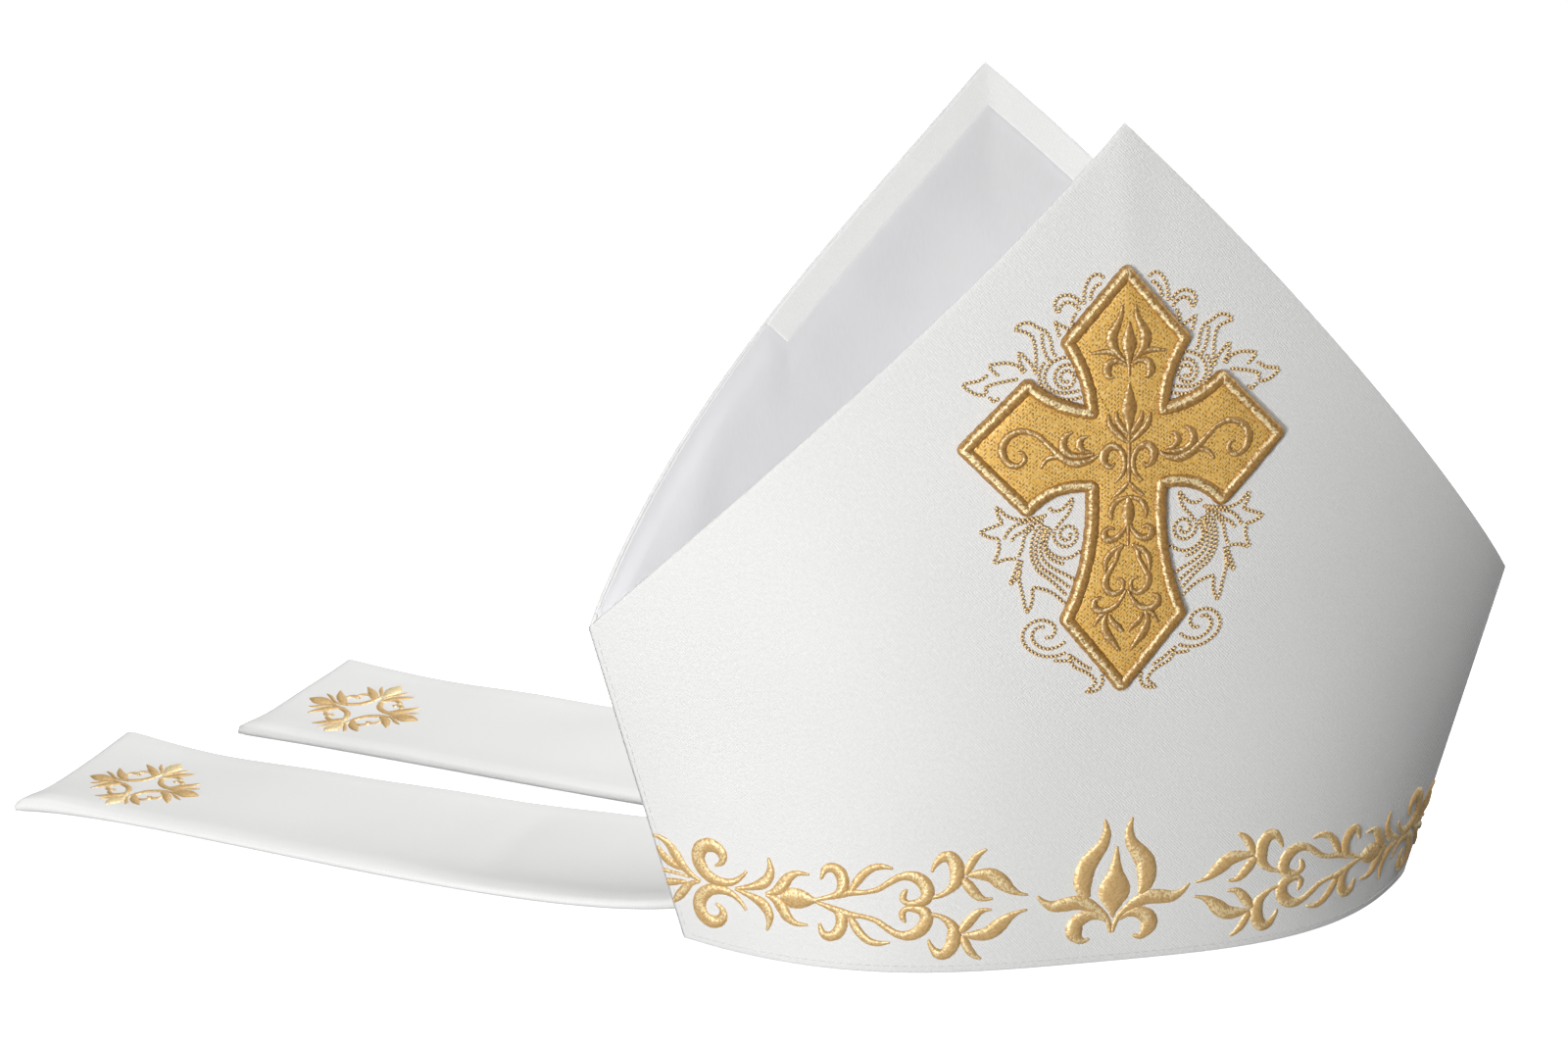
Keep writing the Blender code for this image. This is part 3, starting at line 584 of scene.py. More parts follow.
class Tubes:
    """Collects closed tubes, each a stack of rings with a point at both ends, as one mesh."""

    def __init__(self):
        self.points = []
        self.marks = []
        self.faces = []
        self.count = 0

    def add(self, rings, marks, tips=None):
        """rings is (rings, points round each, 3). tips are the two end points. A tube
        without tips joins its last ring to its first. Rings that turn the wrong way round
        the direction of the tube are reversed, so that its faces look outward."""
        middle = rings.mean(axis=1, keepdims=True)
        arms = rings - middle
        turn = np.cross(arms, np.roll(arms, -1, axis=1)).sum(axis=1)
        if (turn * np.gradient(middle[:, 0], axis=0)).sum() < 0.0:
            rings, marks = rings[:, ::-1], marks[:, ::-1]
        rows, columns = rings.shape[:2]
        total = rows * columns
        points, faces = [rings.reshape(-1, 3)], [quads(rows, columns, tips is None, True)]
        more = [marks.reshape(-1, 3)]
        if tips is not None:
            column, last = np.arange(columns), total - columns
            beside = (column + 1) % columns
            faces += [join(beside, column, total), join(column + last, beside + last, total + 1)]
            points.append(tips)
            more.append(marks[[0, -1]].mean(axis=1))
            total += len(tips)
        for part in faces:
            self.faces.extend((part + self.count).tolist())
        self.points += points
        self.marks += more
        self.count += total

    def build(self, name, material):
        """The piece made of all tubes."""
        points, marks = np.concatenate(self.points), np.concatenate(self.marks)
        return make_piece(name, points, self.faces, marks, material)


# ---- stitches ----

SATIN_COLUMNS = 9
SATIN_ROOT = -0.25
SATIN_UNDERSIDE = 0.7
SATIN_UNDER_DEPTH = -0.4
SATIN_THREAD_WIDTH = 0.3
SATIN_EDGE = 0.05
SATIN_RISE = {"least": 0.45, "per_width": 0.26, "most": 2.0, "full_from_width": 1.2}
SATIN_UNEVEN = {"rise": 0.05, "reach": 0.02, "edge": 0.04, "along": 0.10}
SATIN_TIP = 0.1
SATIN_START_RANGE = 400.0
# Half way between the lines of sight and the high window light, in the mitre's own axes. The
# gold satin paints glints where its threads lie square to it.
TOWARDS_GLINT = (-0.566, -0.785, 0.252)


def laid(lay, flat, height):
    """Flat places and their heights over the cloth, put on it by lay."""
    return lay(flat[..., 0], flat[..., 1], np.broadcast_to(height, flat.shape[:-1]))


def thread_turn(rings):
    """For threads that cross a stroke along each ring: 0 where the thread lies square to
    the glint direction and 1 where it points along it. The gold satin paints its glints from it."""
    return np.abs(unit(np.gradient(rings, axis=1)) @ np.array(TOWARDS_GLINT))


class Embroidery(Tubes):
    """Strokes of satin stitch on one cloth, raised by base over it."""

    def __init__(self, lay, settings, rng, base=0.0, relief=0.72):
        super().__init__()
        self.lay = lay
        self.settings = settings
        self.rng = rng
        self.base = base
        self.relief = relief

    def strokes(self, table, turns, middle=0.0, widening=1.0):
        """Every stroke of a table, turned or mirrored by each of the turns and then moved
        sideways to the line at middle."""
        for rows in table:
            rows = np.array(rows, float)
            for turn in turns:
                flat = rows[:, :2] @ turn + (middle, 0.0)
                self.stroke(np.column_stack([flat, rows[:, 2] * widening]))

    def mirrored(self, pairs, singles, middle):
        """Strokes on both sides of the line at middle, and single ones on it."""
        for hand in (-1, 1):
            self.strokes(pairs, [np.diag([hand, 1])], middle)
        self.strokes(singles, [np.eye(2)], middle)

    def stroke(self, rows):
        """One stroke: a ring every thread pitch along a smooth path. Across the stroke a
        ring rises as the power of a circle from the cloth to the middle, and two points
        under the cloth close it."""
        settings, rng = self.settings, self.rng
        path, along = smooth_path(rows, settings.thread_pitch)
        flat, width = path[:, :2], settings.satin_swell * path[:, 2] + SATIN_THREAD_WIDTH
        forward, sideways = directions(np.gradient(flat, axis=0))
        uneven = rng.uniform(-1.0, 1.0, (len(path), 3))
        across = np.sin(np.linspace(-math.pi / 2, math.pi / 2, SATIN_COLUMNS))
        lifted = np.append((1.0 - np.abs(across) ** 3) ** 0.8, [0.0, 0.0])
        across = np.append(across, [SATIN_UNDERSIDE, -SATIN_UNDERSIDE])
        rise = np.minimum(SATIN_RISE["least"] + SATIN_RISE["per_width"] * width, SATIN_RISE["most"])
        rise = self.relief * settings.satin_rise * rise * ease(width / SATIN_RISE["full_from_width"])
        rise = rise * (1.0 + SATIN_UNEVEN["rise"] * uneven[:, 0])
        reach = width / 2 * (1.0 + SATIN_UNEVEN["reach"] * uneven[:, 1])
        reach = reach + SATIN_EDGE + SATIN_UNEVEN["edge"] * uneven[:, 1]
        places = flat[:, None] + (across * reach[:, None])[..., None] * sideways[:, None]
        places += (SATIN_UNEVEN["along"] * uneven[:, 2:] * across**2)[..., None] * forward[:, None]
        height = self.base + blend(SATIN_ROOT, rise[:, None], lifted)
        height[:, SATIN_COLUMNS:] = self.base + SATIN_UNDER_DEPTH
        rings = laid(self.lay, places, height)
        start = rng.uniform(0.0, SATIN_START_RANGE)
        marks = join(start + along[:, None], across * width[:, None] / 2, thread_turn(rings))
        tips = flat[[0, -1]] + np.array([[-SATIN_TIP], [SATIN_TIP]]) * forward[[0, -1]]
        self.add(rings, marks, laid(self.lay, tips, self.base + SATIN_ROOT / 2))


DASH_RINGS = 4
DASH_SIDES = 6
DASH_REACH = 0.86
DASH_SINK = 0.35
DASH_PATH_STEP = 0.25


def dashes(tubes, path, lay, length, gap, thickness, base=0.0, slant=0.0):
    """Run stitch along a smooth path: each stitch is a small spindle, thick as the root
    of a parabola of its length, half sunk in the cloth and turned by slant."""
    fine, along = smooth_path(path, DASH_PATH_STEP)
    pitch = length + gap
    count = max(1, int((along[-1] + gap) // pitch))
    middle = (along[-1] - count * pitch + gap + length) / 2 + pitch * np.arange(count)
    before, centre, after = (
        join(*(np.interp(middle + part * length / 2, along, column) for column in fine.T))
        for part in (-1, 0, 1)
    )
    forward, sideways = directions(after - before)
    forward, sideways = directions(forward + slant * sideways)
    place = np.linspace(-DASH_REACH, DASH_REACH, DASH_RINGS)[:, None]
    thick = thickness / 2 * np.sqrt(1.0 - place**2)
    angle = np.arange(DASH_SIDES) / DASH_SIDES * 2 * math.pi
    step_along, step_across = np.broadcast_arrays(place * length / 2, thick * np.cos(angle))
    flat = centre[:, None, None] + step_along[..., None] * forward[:, None, None]
    flat = flat + step_across[..., None] * sideways[:, None, None]
    rings = laid(lay, flat, base + thick * (np.sin(angle) + DASH_SINK))
    ends = centre[:, None] + np.array([[-0.5], [0.5]]) * length * forward[:, None]
    marks = join(step_along + length / 2, step_across, 0.0)
    for ring, tips in zip(rings, laid(lay, ends, base)):
        tubes.add(ring, marks, tips)


# ---- materials ----


class Value:
    """A socket's value in a sum. Each operator adds one Math node."""

    def __init__(self, shader, socket):
        self.shader = shader
        self.socket = socket

    def math(self, operation, *others):
        """The result of a Math node for this value and others."""
        inputs = dict(enumerate([self, *others]))
        return self.shader.node("ShaderNodeMath", {"operation": operation}, inputs)

    def __add__(self, other):
        return self.math("ADD", other)

    def __sub__(self, other):
        return self.math("SUBTRACT", other)

    def __rsub__(self, other):
        return self.shader.node("ShaderNodeMath", {"operation": "SUBTRACT"}, {0: other, 1: self})

    def __mul__(self, other):
        return self.math("MULTIPLY", other)

    def __truediv__(self, other):
        return self.math("DIVIDE", other)

    def wave(self, period):
        """0 to 1 and back once in each period."""
        return (self * (2 * math.pi / period)).math("SINE") * 0.5 + 0.5

    def from_to(self, low, high):
        """0 at low and 1 at high, smooth between and level beyond."""
        inputs = {"Value": self, "From Min": low, "From Max": high}
        return self.shader.node("ShaderNodeMapRange", {"interpolation_type": "SMOOTHSTEP"}, inputs)


class Shader:
    """One material: a Principled surface whose sockets take numbers, colours or Values."""

    def __init__(self, name):
        self.material = bpy.data.materials.new(name)
        self.material.use_nodes = True
        self.tree = self.material.node_tree
        self.surface = self.tree.nodes["Principled BSDF"]

    def node(self, kind, settings, inputs, output=0):
        """A new node with its settings and inputs; one of its outputs as a Value."""
        made = self.tree.nodes.new(kind)
        for key, value in settings.items():
            setattr(made, key, value)
        for key, value in inputs.items():
            self.feed(made.inputs[key], value)
        return Value(self, made.outputs[output])

    def feed(self, socket, value):
        """Links a Value to the socket, or sets its own number or colour."""
        if isinstance(value, Value):
            self.tree.links.new(value.socket, socket)
        else:
            socket.default_value = (*value, 1.0) if socket.type == "RGBA" else value

    def marks(self):
        """The piece's own 'cloth' attribute, as three Values."""
        mark = self.node("ShaderNodeAttribute", {"attribute_name": "cloth"}, {}, "Vector")
        parts = self.node("ShaderNodeSeparateXYZ", {}, {"Vector": mark}).socket.node.outputs
        return [Value(self, part) for part in parts]

    def noise(self, x, y, z, scale=1.0, detail=2.0):
        """Noise from 0 to 1 at a place given by three Values or numbers."""
        place = self.node("ShaderNodeCombineXYZ", {}, {"X": x, "Y": y, "Z": z})
        return self.node("ShaderNodeTexNoise", {}, {"Vector": place, "Scale": scale, "Detail": detail})

    def mix(self, factor, first, second):
        """Two colours, mixed."""
        return self.node("ShaderNodeMix", {"data_type": "RGBA"}, {0: factor, 6: first, 7: second}, 2)

    def finish(self, height=None, height_mm=0.1, **sockets):
        """Feeds the surface. height is a Value that stands height_mm out of it."""
        for key, value in sockets.items():
            self.feed(self.surface.inputs[key.replace("_", " ")], value)
        if height:
            bump = self.node("ShaderNodeBump", {}, {"Distance": height_mm * MM, "Height": height})
            self.feed(self.surface.inputs["Normal"], bump)
        return self.material

    def finish_gold(self, settings, tone, roughness, metallic, specular, *height):
        """Metallised thread. The film round it has a high index, so it glints as well."""
        return self.finish(
            *height, Base_Color=tone, Roughness=roughness, Metallic=metallic, IOR=settings.film_index,
            Specular_IOR_Level=specular, Specular_Tint=settings.glint_tint,
        )


def times(factor, tone):
    """A colour with each part multiplied."""
    return [factor * part for part in tone]


def twill(name, settings, relief=0.34, contrast=0.11):
    """White cloth: fine diagonal ribs with painted shade between them, and slow unevenness in tone and lie.
    """
    shader = Shader(name)
    u, v, _ = shader.marks()
    drift = shader.noise(u, v, 2.0, 0.5) * 1.2
    rib = ((u + v) * 0.7 + drift).wave(settings.twill_pitch)
    crossing = ((u - v) * 0.7 - drift).wave(settings.twill_pitch * 0.86)
    weave = rib * 0.6 + crossing * 0.4
    slub = shader.noise(u + v * 0.5, v - u * 0.5, 0.0, 0.8)
    cloud = shader.noise(u, v, 0.0, 0.018)
    # Painted shade between the ribs, with random slub and cloud.
    shade = (1.0 - weave) * 0.35 + slub * 0.45 + cloud * 0.2
    white = settings.cloth_colour
    tone = shader.mix(shade.from_to(0.25, 0.7), white, times(1.0 - contrast, white))
    return shader.finish(
        weave * 0.35 + slub * 0.65, relief, Base_Color=tone, Roughness=cloud * 0.16 + 0.62,
        Sheen_Weight=0.08, Sheen_Roughness=0.4, Specular_IOR_Level=0.28,
    )


def lining_satin(settings):
    """Smooth lining: floats down the cloth, so it is glossier and streaked lengthwise. Painted
    light makes it lighter near the horn edge, where more light falls in from outside."""
    shader = Shader("lining satin")
    u, v, under = shader.marks()
    streak = shader.noise(u, v * 0.25, 0.0, 0.9, 3.0)
    cloud = shader.noise(u, v, 0.0, 0.025)
    rib = (u + v * 0.25).wave(0.55)
    grey = settings.lining_colour
    tone = shader.mix((streak * 0.4 + cloud * 0.6).from_to(0.3, 0.7), grey, times(0.95, grey))
    # Painted light: full near the horn edge, fading deeper inside.
    pale = under.from_to(LINING_PAINTED_LIGHT_DEPTH["none"], LINING_PAINTED_LIGHT_DEPTH["full"])
    tone = shader.mix(pale, tone, times(1.065, grey))
    return shader.finish(
        rib * 0.2 + streak * 0.4 + cloud * 0.4, 0.04, Base_Color=tone, Roughness=streak * 0.12 + 0.46,
        Sheen_Weight=0.06, Specular_IOR_Level=0.4,
    )


def gold_satin(name, settings, tones, shine, slant=0.3):
    """Satin stitch. Threads lie side by side across the stroke, each with its own tone
    between the first two tones. Specks of the third tone are painted glints: sparse where
    the thread turns away from the glint direction and close where it lies square to it,
    more of them the higher shine is. Painted shade in the first tone darkens the grooves
    between the threads."""
    shader = Shader(name)
    along, across, turn = shader.marks()
    lie = along + across * slant
    thread = lie.wave(settings.thread_pitch)
    strand = shader.noise(lie * 2.4, across * 0.35, 0.0)
    patch = shader.noise(lie * 0.42, across * 0.4, 3.0, 1.0, 1.0)
    sparkle = shader.noise(lie * 1.7, across * 1.1, 6.0)
    speck = shader.noise(lie * 0.95, across * 1.1, 9.0)
    square = turn.from_to(0.62, 0.12)
    shade, body, pale = tones
    tone = shader.mix((strand * 0.3 + patch * 0.2 + speck * 0.5).from_to(0.42, 0.56), shade, body)
    grain = sparkle * 0.85 + patch * 0.3 + thread * 0.1 + speck * 0.75
    # Painted glints: the third tone goes where the grain is high, more so where the thread lies square to
    # the glint direction.
    light = (grain + square * 0.46 + (shine - 1.80)).from_to(0.0, 0.16)
    tone = shader.mix(light * 0.95, tone, pale)
    # Painted shade in the first tone, in the grooves between the threads.
    tone = shader.mix((1.0 - thread).from_to(0.6, 1.0) * 0.25, tone, shade)
    height = thread * 0.35 + strand * 0.15 + speck * 0.5
    return shader.finish_gold(settings, tone, 0.46 - light * 0.12, 0.1, 0.55, height, 0.14)


def gold_fill(settings):
    """Fill stitch: columns of short slanting stitches. A gap of painted shade in brown shows
    where each ends, set off from one column to the next and slanting the other way in every
    second one. Scattered specks of pale gold are painted glints."""
    shader = Shader("gold fill stitch")
    u, v, _ = shader.marks()
    wobble = shader.noise(u, v, 0.0, 0.6)
    column = (u + wobble * 0.7) / settings.fill_column
    number = column.math("FLOOR")
    inside = column.math("FRACT") - 0.5
    turn = (number * 0.5).math("FRACT") * 4.0 - 1.0
    row = v / settings.fill_stitch + number * 0.37 + inside * turn * 0.6 + wobble * 1.2
    end = (row.math("FRACT") - 0.5).math("ABSOLUTE")
    gap = (1.0 - end.from_to(0.05, 0.24)) * (1.0 - inside.math("ABSOLUTE").from_to(0.2, 0.46))
    keep = shader.noise(number * 3.7, row.math("FLOOR") * 1.9, 0.0, 1.0, 0.0)
    gap = gap * keep.from_to(0.34, 0.5)
    strand = shader.noise(u * 1.5, v * 0.8, 0.0)
    # Painted glints: specks of pale gold.
    painted_glints = shader.noise(u, v, 4.0, 1.0, 3.0).from_to(0.50, 0.62)
    tone = shader.mix(strand.from_to(0.3, 0.7), settings.field_colour, settings.field_light)
    tone = shader.mix(painted_glints * 0.4, tone, settings.painted_glint_gold)
    # Painted shade in the gaps between stitches.
    tone = shader.mix(gap * 0.9, tone, settings.fill_gap_shade)
    height = (1.0 - gap) * 0.6 + strand * 0.4
    return shader.finish_gold(settings, tone, 0.48 - painted_glints * 0.15, 0.12, 0.4, height, 0.2)


def run_thread(settings):
    """Run stitch: each stitch is light over its middle, with specks of painted highlight in
    pale gold, and painted shade makes it brown at both ends, where it goes into the cloth."""
    shader = Shader("run thread")
    along, across, _ = shader.marks()
    end = (along / settings.run_length - 0.5).math("ABSOLUTE")
    grain = shader.noise(along * 2.0, across * 3.0, 0.0)
    # Painted highlight: specks of pale gold.
    tone = shader.mix(grain.from_to(0.46, 0.62), settings.run_colour, settings.painted_glint_gold)
    # Painted shade at both ends of each stitch.
    tone = shader.mix(end.from_to(0.12, 0.34), tone, settings.run_end_shade)
    return shader.finish_gold(settings, tone, 0.45, 0.1, 0.6)


def sewing_thread(name, base):
    """Twisted thread: light and dark turns along each stitch, the dark as painted shade in the groove of
    each turn.
    """
    shader = Shader(name)
    along, across, _ = shader.marks()
    ply = (along + across * 0.8).wave(0.45)
    tone = shader.mix(ply, times(0.78, base), base)
    return shader.finish(
        ply, 0.05, Base_Color=tone, Roughness=ply * 0.14 + 0.42, Metallic=0.0, Specular_IOR_Level=0.45
    )


def floor_surface(settings):
    """A plain colour that also glows, so that the floor stays bright."""
    tone = settings.floor_colour
    return Shader("pale floor").finish(
        Base_Color=tone, Roughness=0.9, Emission_Color=tone, Emission_Strength=settings.floor_glow,
        Specular_IOR_Level=0.0,
    )


# ---- the cross ----


def cross_outline(step, inset):
    """The closed outline of the cross: straight or bent sides between its corners, each
    bend a parabola, moved inwards by inset."""
    half = np.array(CROSS_HALF)
    points = [half[0, :2]]
    for start, end, bend in zip(half[:-1, :2], half[1:, :2], half[1:, 2]):
        across = end - start
        length = np.linalg.norm(across)
        t = np.linspace(0.0, 1.0, max(2, round(length / step)) + 1)[1:, None]
        points.extend(start + across * t + np.array([across[1], -across[0]]) / length * bend * arch(t))
    right = np.array(points)
    outline = np.concatenate([right, right[-2:0:-1] * (-1.0, 1.0)]) + (CROSS_MIDDLE[0], 0.0)
    return inwards(outline, inset)


def inwards(outline, inset):
    """The outline moved along the sum of the normals of the two sides at each point, less
    the points that come too close to it."""
    before = outline - np.roll(outline, 1, axis=0)
    middle = -directions(before)[1] - directions(np.roll(before, -1, axis=0))[1]
    moved = outline + inset * middle * 2.0 / np.sum(middle * middle, axis=1, keepdims=True)
    return moved[distance_to(outline, moved) > inset - 0.05]


def distance_to(outline, points):
    """How far each point lies from the closed outline."""
    step = np.roll(outline, -1, axis=0) - outline
    t = np.sum((points[:, None] - outline) * step, axis=2) / np.sum(step * step, axis=1)
    nearest = outline + np.clip(t, 0.0, 1.0)[..., None] * step
    return np.linalg.norm(points[:, None] - nearest, axis=2).min(axis=1)


def even_loop(points, step):
    """A closed line resampled every step."""
    loop = np.concatenate([points, points[:1]])
    along = running(loop)
    even = np.linspace(0.0, along[-1], round(along[-1] / step) + 1)[:-1]
    return join(*(np.interp(even, along, column) for column in loop.T)), even


# ---- settings ----


def scalar(name, description, default):
    """A number in the settings."""
    return bpy.props.FloatProperty(name=name, description=description, default=default)


def millimetres(name, description, default):
    """A length in the settings, kept in millimetres."""
    return scalar(name, description + ", in millimetres", default)


def colour(name, description, default):
    """A colour in the settings."""
    return bpy.props.FloatVectorProperty(
        name=name, description=description, subtype="COLOR", default=default
    )


class MitreSettings(bpy.types.PropertyGroup):
    """Sizes and colours of the cloth, thread and stage"""

    thread_pitch: millimetres("Thread pitch", "Distance between satin threads", 0.42)
    satin_swell: scalar("Satin swell", "Factor from a stroke's stated width to its real one", 1.12)
    satin_rise: millimetres("Satin rise", "Height of a medium satin stroke", 0.75)
    twill_pitch: millimetres("Twill pitch", "Distance between ribs of the twill", 0.8)
    fill_column: millimetres("Fill column", "Width of a column of fill stitch", 1.05)
    fill_stitch: millimetres("Fill stitch", "Length of a fill stitch", 1.35)
    run_length: millimetres("Run stitch", "Length of a run stitch", 1.35)
    run_gap: millimetres("Run gap", "Gap between run stitches", 0.1)
    run_thickness: millimetres("Run thickness", "Thickness of a run stitch", 1.4)
    topstitch_length: millimetres("Topstitch", "Length of a topstitch", 2.4)
    topstitch_gap: millimetres("Topstitch gap", "Gap between topstitches", 0.7)
    topstitch_thickness: millimetres("Topstitch thickness", "Thickness of a topstitch", 0.34)
    roll_rise: millimetres("Roll rise", "Height of the roll round the cross", 2.7)
    film_index: scalar("Film index", "Refractive index of the film round the gold thread", 2.3)
    cloth_colour: colour("Cloth", "White twill", (0.84, 0.84, 0.83))
    lining_colour: colour("Lining", "Lining satin", (0.695, 0.695, 0.705))
    glint_tint: colour("Glint", "Tint of the glints on the gold", (1.0, 0.82, 0.50))
    # The first tone of each gold satin also paints the shade in the grooves between its threads.
    gold_shade: colour("Gold brown", "Darkest threads", (0.30, 0.145, 0.035))
    gold_dark: colour("Dark gold", "Threads of the cross", (0.50, 0.26, 0.065))
    gold_middle: colour("Gold", "Darker threads of the border", (0.60, 0.365, 0.135))
    gold_pale: colour("Gold in light", "Lighter threads of the border", (0.74, 0.50, 0.23))
    # Painted glints on all the gold threads.
    painted_glint_gold: colour("Pale gold", "Glints on the threads", (1.0, 0.84, 0.50))
    field_colour: colour("Field", "Fill stitch of the cross", (0.78, 0.41, 0.065))
    field_light: colour("Light field", "Lighter fill stitches", (0.95, 0.60, 0.15))
    # Painted shade in the gaps between fill stitches.
    fill_gap_shade: colour("Brown", "Gaps between fill stitches", (0.20, 0.09, 0.02))
    run_colour: colour("Run thread", "Run stitch round the cross", (0.80, 0.53, 0.21))
    # Painted shade at both ends of each run stitch.
    run_end_shade: colour("Run thread ends", "Run stitch where it enters the cloth", (0.20, 0.088, 0.021))
    floor_colour: colour("Floor", "Pale floor", (0.93, 0.93, 0.93))
    floor_glow: scalar("Floor glow", "Keeps the floor bright in the shade", 0.97)
    light_power: scalar("Lights", "Factor on the power of every light", 1.0)
    fill_strength: scalar("Fill light", "Brightness of the surroundings", 0.17)


# ---- operators ----


class MITRE_OT_panels(bpy.types.Operator):
    """Front and back panels of stiffened twill, each rising into a horn"""

    bl_idname = "mitre.panels"
    bl_label = "Panels"

    COLUMNS = 220
    ROWS = 110
    TO_SEAM = 0.9985

    def execute(self, context):
        material = twill("white twill", context.scene.mitre_settings)
        for side in DEPTH:
            made = self.panel(side, material)
            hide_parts(side + "_panel")
        return {"FINISHED"}

    def panel(self, side, material):
        """Columns run from the rim to the horn edge, closer together by the seams. The
        middle surface lies half a thickness inside the wall and undulates very slightly."""
        half = PANEL_THICKNESS / 2
        share = np.linspace(-1.0, 1.0, self.COLUMNS + 1)
        share = self.TO_SEAM * blend(np.sin(share * math.pi / 2), share, 0.5)
        top_x, top_z = horn_edge(side, share)
        z = half + (top_z - 2 * half) * np.linspace(0.0, 1.0, self.ROWS + 1)[:, None]
        x = blend(share * half_width(0.0), top_x, z / top_z)
        faces = DEPTH[side]["faces"]

        def clamp(points):
            """Keeps each panel on its own side of the seam plane and over the floor."""
            points[..., 1] = faces * np.maximum(faces * points[..., 1], PANEL_OFF_SEAM_PLANE)
            return over_floor(points)

        marks = join(cloth_length(side, x, z), z, 0.0)
        return wall_piece(side, "_cloth", x, z, half, half, marks, material, clamp)


def over_floor(points):
    """Lifts what would reach through the floor on to it."""
    points[..., 2] = np.maximum(points[..., 2], 0.0)
    return points


def wall_piece(side, name, x, z, inside, half, marks, material, clamp=None):
    """A cloth whose middle lies inside the wall of one side, facing the way the side does."""
    turned = slice(None, None, -DEPTH[side]["faces"])
    middle = on_cloth(side, x, z, -inside)[:, turned]
    return wrapped(side + name, middle, half, marks[:, turned], material, clamp)


class MITRE_OT_facings(bpy.types.Operator):
    """The band of cloth turned in along each horn edge"""

    bl_idname = "mitre.facings"
    bl_label = "Facings"

    COLUMNS = 200
    ROWS = 12

    def execute(self, context):
        material = twill("facing twill", context.scene.mitre_settings, 0.12, 0.05)
        half = FACING_THICKNESS / 2
        top_x = np.linspace(-1.0, 1.0, self.COLUMNS + 1) * FACING_END_HALF_WIDTH
        low_x = top_x - np.sign(top_x) * FACING_END_CUT * past_facing(top_x, FACING_CUT_RUN)
        rise = np.linspace(0.0, 1.0, self.ROWS + 1)[:, None]
        x = blend(low_x, top_x, rise)
        for side in DEPTH:
            top_z, low_z = (edge_height(side, end) - half - BELOW_HORN_EDGE for end in (top_x, low_x))
            z = blend(low_z - facing_drop(), top_z, rise)
            marks = join(cloth_length(side, x, z) * 0.7 + z * 0.7, z, 0.0)
            inside = PANEL_THICKNESS + LINING_GAP + half
            made = wall_piece(side, "_facing_cloth", x, z, inside, half, marks, material)
            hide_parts(side + "_facing")
        return {"FINISHED"}


def past_facing(x, run):
    """0 along the facing and 1 from its end on, with a straight rise over run before it."""
    return np.clip((np.abs(x) - FACING_END_HALF_WIDTH) / run + 1.0, 0.0, 1.0)


class MITRE_OT_lining(bpy.types.Operator):
    """The satin lining, from the front horn through the valley to the back horn"""

    bl_idname = "mitre.lining"
    bl_label = "Lining"

    COLUMNS = 240
    ROWS_ON_WALL = 46
    ROWS_IN_TURN = 34

    def execute(self, context):
        x = np.linspace(-1.0, 1.0, self.COLUMNS + 1) * LINING_REACH
        thin = LINING_END_THINNING
        by_seam = ease((np.abs(x) - LINING_REACH + thin["starts"]) / thin["run"])
        half = LINING_THICKNESS / 2 * (1.0 - thin["most"] * by_seam)
        front, back = (self.leaf(side, x, half) for side in DEPTH)
        middle, under = (np.concatenate([a, b[-2::-1]]) for a, b in zip(front, back))
        run = running(middle)
        marks = join(x, run, under)
        material = lining_satin(context.scene.mitre_settings)
        made = wrapped("lining_cloth", middle[::-1], half, marks[::-1], material)
        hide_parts("lining")
        down, over = np.diff(middle, axis=0), np.diff(middle, axis=1)
        width = float(np.linalg.norm(over[..., :2], axis=-1).sum(axis=1).max())
        area = float(np.linalg.norm(np.cross(down[:, 1:], over[1:]), axis=-1).sum())
        return {"FINISHED"}

    def leaf(self, side, x, half):
        """One side from the horn edge down to the valley's floor, and how deep each point
        lies under the horn edge. Below the point where it leaves the wall, the depth of
        the cloth falls as the cosine of an angle whose sine lowers it."""
        valley = blend(VALLEY_HEIGHT_MIDDLE, VALLEY_HEIGHT_ENDS, (x / LINING_END_HALF_WIDTH) ** 2)
        edge = edge_height(side, x)
        under_facing = (facing_drop() + BELOW_HORN_EDGE) * (1.0 - past_facing(x, FACING_END_CUT))
        top = edge - BELOW_HORN_EDGE - half - under_facing
        leave = blend(valley, edge, VALLEY_SHARE)
        upper = np.linspace(1.0, 0.0, self.ROWS_ON_WALL + 1)[:-1, None]
        turn = np.linspace(0.0, math.pi / 2, self.ROWS_IN_TURN + 1)[:, None]
        z = np.concatenate([blend(leave, top, upper), blend(leave, valley, np.sin(turn))])
        height = (z - leave) / np.maximum(top - leave, 1.0)
        fold = self.folds(side, x, z) * ease(1.25 - height) * ease((top - z) / 12.0)
        inside = PANEL_THICKNESS + LINING_GAP + half
        points = on_cloth(side, np.broadcast_to(x, z.shape), z, -inside - fold)
        points[..., 1] *= np.concatenate([np.ones_like(upper), np.cos(turn)])
        return points, edge - z

    @staticmethod
    def folds(side, x, z):
        """Slack in the cloth: two broad rolls down it and a slanting one by each end."""
        slant = x - 0.55 * (z - 160.0)
        broad = 0.9 * (1.0 + np.sin(slant / 21.0 + 0.8)) + 0.5 * (1.0 + np.sin(x / 12.5 - z / 40.0))
        end = 1.6 * bump(np.abs(x) - 128.0 + 0.3 * (z - 130.0), 9.0)
        return (broad + end) * (0.5 if side == "front" else 0.75)


